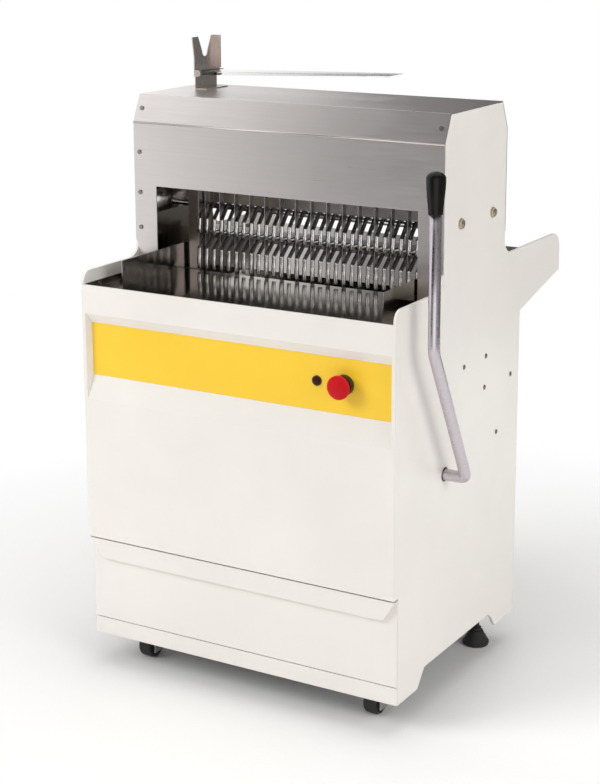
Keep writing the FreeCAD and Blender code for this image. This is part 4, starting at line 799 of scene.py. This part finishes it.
class SLICER_OT_fasteners(bpy.types.Operator):
    """Hexagon bolts of the hold-down comb, and cross-recessed screws of the side panels"""
    bl_idname = "slicer.fasteners"
    bl_label = "Fasteners"

    def execute(self, context):
        thick, bolt = NUT["thick"], NUT["bolt"]
        washer = turned(rounded_profile([(0, 0, 0), (0, NUT["washer"], 0), (thick, NUT["washer"], 0.0004),
                                         (thick, 0, 0)], 4), (0, 0, 0))
        # The stud's end is its radius less a ripple of |sin|, which leaves two rounded grooves.
        ridge = np.linspace(0, 1, 13)
        thread = np.column_stack((NUT["tall"] + 0.001 + ridge * 0.0016,
                                  bolt - 0.0004 * np.abs(np.sin(ridge * RING))))
        stud = turned(np.vstack(((0.001, 0.0), (0.001, bolt), thread, (thread[-1, 0], 0.0))), (0, 0, 0))
        outer = (washer, hexagon_nut(NUT["across"], NUT["tall"], thick), stud)
        parts = []
        for low, high in islands("comb_bolts"):
            side = 1.0 if high[0] > MID_X else -1.0
            x = (high[0] if side > 0 else low[0]) - side * NUT["proud"]
            centre = (x, *((low + high) / 2)[1:])
            parts += [facing(part, centre, (side, 0, 0)) for part in outer]
            near, far = (low[0], x) if side > 0 else (x, high[0])
            shank = [(near, 0.0), (near, bolt - 0.0002), (far, bolt - 0.0002), (far, 0.0)]
            parts.append(turned(shank, (0, *centre[1:]), axis="x"))
        part = merged(parts)
        shell(part, "comb_hex_bolts", "cabinet", nodes=("comb_bolts",),
              finish="bolt_steel", smooth=False)
        parts = []
        for low, high in islands("side_screws"):
            side = 1.0 if high[0] > MID_X else -1.0
            panel = box("side_panel_right")[1][0] if side > 0 else box("side_panel_left")[0][0]
            head = cross_head((high[1] - low[1]) / 2, abs((high[0] if side > 0 else low[0]) - panel))
            parts.append(facing(head, (panel, *((low + high) / 2)[1:]), (side, 0, 0)))
        part = merged(parts)
        shell(part, "side_screw_heads", "cabinet", nodes=("side_screws",),
              finish="dark_screw", smooth=False)
        return {"FINISHED"}


class SLICER_OT_hood_lip(bpy.types.Operator):
    """Rounded lip where the hood's sloping front edge laps over its upright front"""
    bl_idname = "slicer.hood_lip"
    bl_label = "Hood lip"

    def execute(self, context):
        low, high = box("hood_shell")
        inside = low[1] + LAP["deep"]
        up = ORIGIN[2] + LAP["fold"] + LAP["up"]
        proud = sizes().lip_proud
        # The lip's outline is half an ellipse that stands out by sin t and goes down by 1 - cos t.
        turn = np.linspace(0, math.pi, 9)
        curve = np.column_stack((low[1] - proud * np.sin(turn), up - proud * 1.1 * (1 - np.cos(turn))))
        outline = np.vstack((curve, (inside, curve[-1, 1]), (inside, up)))
        part = prism(outline, low[0] + LAP["gap"], high[0] - LAP["gap"])
        shell(part, "hood_lip_bead", "cabinet", finish="hood_steel")
        return {"FINISHED"}


class SLICER_OT_feet(bpy.types.Operator):
    """Rubber levelling feet and castor wheels"""
    bl_idname = "slicer.feet"
    bl_label = "Feet and castors"

    def execute(self, context):
        for word in ("left", "right"):
            top = box(f"foot_{word}")[1][2]
            x, y, _ = middle(f"foot_{word}")
            stud = FOOT[-1][1]
            profile = rounded_profile([*FOOT, (top, stud, 0), (top, 0.0, 0)])
            part = turned(profile, (x, y, 0))
            shell(part, f"bell_foot_{word}", f"level_{word}", nodes=(f"foot_{word}",),
                  finish="black_rubber")
            low, high = box(f"castor_wheel_{word}")
            centre = middle(f"castor_wheel_{word}")
            half = (high[0] - low[0]) / 2
            tread = (TREAD["in"], (high[2] - low[2]) / 2, TREAD["round"])
            side = np.array((*WHEEL, tread)) - (half, 0, 0)
            profile = rounded_profile(np.vstack((side, side[::-1] * (-1, 1, 1), side[0])))
            part = turned(profile, centre, axis="x")
            shell(part, f"tyre_{word}", f"castor_{word}", nodes=(f"castor_wheel_{word}",),
                  finish="black_rubber")
        return {"FINISHED"}


# Cards round the machine: their lower and upper edge, and the tone at each angle.
CARDS = {
    "front_card": (0.0, 1.7, ((-62, 1.25), (-43, 1.2), (-36, 0.85), (-27, 0.32), (-18, 0.12), (0, 0.12),
                              (16, 1.2), (44, 1.5), (60, 0.3), (84, 0.15), (118, 0.15))),
    "high_card": (1.7, 7.0, ((-58, 1.55), (-43, 1.5), (-38, 0.75), (-32, 0.03), (-15, 0.0), (14, 0.0),
                             (24, 0.4), (42, 0.4), (62, 0.2), (84, 0.15), (118, 0.15))),
    "rear_card": (0.0, 0.95, ((118, 0.15), (136, 0.2), (160, 0.2), (184, 0.1), (192, 0.3))),
    "back_card": (0.95, 3.6, ((118, 0.15), (136, 0.2), (160, 0.2), (190, 0.06), (198, 0.08), (206, 0.2),
                              (212, 0.66), (228, 1.4))),
}
CARD_RADIUS = 2.5
# Distances from the middle between which the floor fades to white.
FADE = (0.5, 1.3)
# Lamps: place, the point they face, size and power.
LAMPS = {
    "key_box": ((-2.6, -3.3, 2.9), (0, 0, 0.55), 2.4, 114),
    "fill_box": ((3.6, -0.9, 2.0), (0, 0, 0.6), 2.4, 57),
    "top_box": ((0.2, 0.4, 3.6), (0, 0, 0.8), 2.6, 38),
}


class SLICER_OT_stage(bpy.types.Operator):
    """Pale floor, soft studio light and the camera"""
    bl_idname = "slicer.stage"
    bl_label = "Stage"

    def execute(self, context):
        scene = context.scene
        scene.view_settings.view_transform = "Standard"
        build_floor()
        build_world(scene)
        build_lamps(scene)
        for name, (low, high, stops) in CARDS.items():
            build_card(name, low, high, stops)
        build_camera(scene)
        return {"FINISHED"}


def build_floor():
    """Round pale floor that fades into the white surroundings away from the machine."""
    points, faces = turned([(0, radius) for radius in (0.0, 1.0, 2.5, 6.0, 14.0)], (0, 0, 0), around=64)
    mesh = bpy.data.meshes.new("studio_floor")
    mesh.from_pydata(points.tolist(), [], [face[::-1] for face in faces])
    floor = bpy.data.objects.new("studio_floor", mesh)
    bpy.context.scene.collection.objects.link(floor)
    material, tree, out = new_finish("floor_paper")
    place = wire(tree, "TexCoord").outputs["Object"]
    distance = wire(tree, "VectorMath", {0: place}, operation="LENGTH").outputs["Value"]
    fade = maths(tree, "MULTIPLY", spread(tree, distance, *FADE), seen_directly(tree))
    weave = spread(tree, noise(tree, place, 260.0, Detail=2.0), 0.3, 0.7)
    tone = blended(tree, weave, (0.955, 0.95, 0.945, 1), (0.975, 0.97, 0.965, 1))
    paper = wire(tree, "BsdfDiffuse", {"Color": tone}).outputs[0]
    white = wire(tree, "Emission", {"Color": (1, 1, 1, 1), "Strength": 1.0}).outputs[0]
    linked(tree, out, Surface=wire(tree, "MixShader", {0: fade, 1: paper, 2: white}).outputs[0])
    mesh.materials.append(material)


def build_world(scene):
    """Soft light from all round, and plain white where the surroundings are seen."""
    world = bpy.data.worlds.new("studio_air")
    world.use_nodes = True
    tree = world.node_tree
    tree.nodes.clear()
    soft = wire(tree, "Background", {"Color": (1.0, 0.99, 0.98, 1), "Strength": 0.38}).outputs[0]
    white = wire(tree, "Background", {"Color": (1, 1, 1, 1), "Strength": 1.0}).outputs[0]
    mix = wire(tree, "MixShader", {0: seen_directly(tree), 1: soft, 2: white}).outputs[0]
    linked(tree, wire(tree, "OutputWorld"), Surface=mix)
    scene.world = world


def build_card(name, low, high, stops):
    """Grey card that only reflections and glass see: an upright arc round the machine, whose tone runs
    evenly from stop to stop. A stop's angle is 0 straight in front and grows to the right."""
    places, tones = np.array(stops, float).T
    columns = 160
    rows = 4
    angle, height = np.meshgrid(np.linspace(places[0], places[-1], columns), np.linspace(low, high, rows))
    turn = np.radians(angle)
    points = np.stack((CARD_RADIUS * np.sin(turn), -CARD_RADIUS * np.cos(turn), height), axis=-1)
    mesh = bpy.data.meshes.new(name)
    mesh.from_pydata(points.reshape(-1, 3).tolist(), [], grid_faces(rows, columns, closed=False))
    tone = mesh.attributes.new("tone", "FLOAT", "POINT")
    tone.data.foreach_set("value", np.interp(angle, places, tones).ravel())
    card = bpy.data.objects.new(name, mesh)
    bpy.context.scene.collection.objects.link(card)
    material, tree, out = new_finish(name)
    strength = wire(tree, "Attribute", attribute_name="tone").outputs["Fac"]
    grey = wire(tree, "Emission", {"Color": (1, 1, 1, 1), "Strength": strength}).outputs[0]
    linked(tree, out, Surface=grey)
    mesh.materials.append(material)
    for flag in ("visible_camera", "visible_diffuse", "visible_shadow", "visible_volume_scatter"):
        setattr(card, flag, False)


def build_lamps(scene):
    """A broad key from the front left, a weaker fill from the right, which alone shows in the steel, and a
    soft lamp overhead."""
    for name, (place, target, size, power) in LAMPS.items():
        lamp = bpy.data.lights.new(name, "AREA")
        lamp.shape = "SQUARE"
        lamp.size = size
        lamp.energy = power
        item = bpy.data.objects.new(name, lamp)
        item.visible_glossy = name == "fill_box"
        item.location = place
        item.rotation_euler = (Vector(target) - Vector(place)).to_track_quat("-Z", "Y").to_euler()
        scene.collection.objects.link(item)


def build_camera(scene):
    """Camera from the front right, a little above the hood."""
    yaw, pitch, roll = (math.radians(angle) for angle in (30.60, 12.83, -0.22))
    place = np.array((1.5292, -2.7301, 1.3728))
    ahead = np.array((-math.sin(yaw) * math.cos(pitch), math.cos(yaw) * math.cos(pitch), -math.sin(pitch)))
    right = np.array((math.cos(yaw), math.sin(yaw), 0.0))
    up = np.cross(right, ahead)
    across = math.cos(roll) * right + math.sin(roll) * up
    above = -math.sin(roll) * right + math.cos(roll) * up
    lens = bpy.data.cameras.new("front_right_camera")
    lens.sensor_fit = "VERTICAL"
    lens.sensor_height = 36.0
    lens.lens = 81.20
    lens.shift_y = -0.12
    lens.clip_end = 100
    camera = bpy.data.objects.new("front_right_camera", lens)
    axes = np.eye(4)
    axes[:3, 0], axes[:3, 1], axes[:3, 2], axes[:3, 3] = across, above, -ahead, place
    camera.matrix_world = Matrix(axes.tolist())
    scene.collection.objects.link(camera)
    scene.camera = camera


class SLICER_PT_parts(bpy.types.Panel):
    """Pieces of the slicer and their settings"""
    bl_label = "Bread slicer"
    bl_idname = "SLICER_PT_parts"
    bl_space_type = "VIEW_3D"
    bl_region_type = "UI"
    bl_category = "Slicer"

    def draw(self, context):
        for settings in (context.scene.slicer_sizes, context.scene.slicer_colours):
            for name in settings.__annotations__:
                self.layout.prop(settings, name)
        for operator in OPERATORS:
            self.layout.operator(operator.bl_idname)


OPERATORS = (SLICER_OT_finishes, SLICER_OT_lever, SLICER_OT_buttons, SLICER_OT_comb, SLICER_OT_fingers,
             SLICER_OT_fasteners, SLICER_OT_hood_lip, SLICER_OT_feet, SLICER_OT_stage)
CLASSES = (SlicerSizes, SlicerColours, *OPERATORS, SLICER_PT_parts)


def register():
    """Add the slicer's settings, operators and panel."""
    for item in CLASSES:
        bpy.utils.register_class(item)
    bpy.types.Scene.slicer_sizes = bpy.props.PointerProperty(type=SlicerSizes)
    bpy.types.Scene.slicer_colours = bpy.props.PointerProperty(type=SlicerColours)


def unregister():
    """Take the slicer's settings, operators and panel away."""
    del bpy.types.Scene.slicer_sizes
    del bpy.types.Scene.slicer_colours
    for item in reversed(CLASSES):
        bpy.utils.unregister_class(item)


def main():
    """Build the slicer's looks."""
    register()
    for operator in OPERATORS:
        getattr(bpy.ops.slicer, operator.bl_idname.split(".")[1])()


if __name__ == "__main__":
    main()
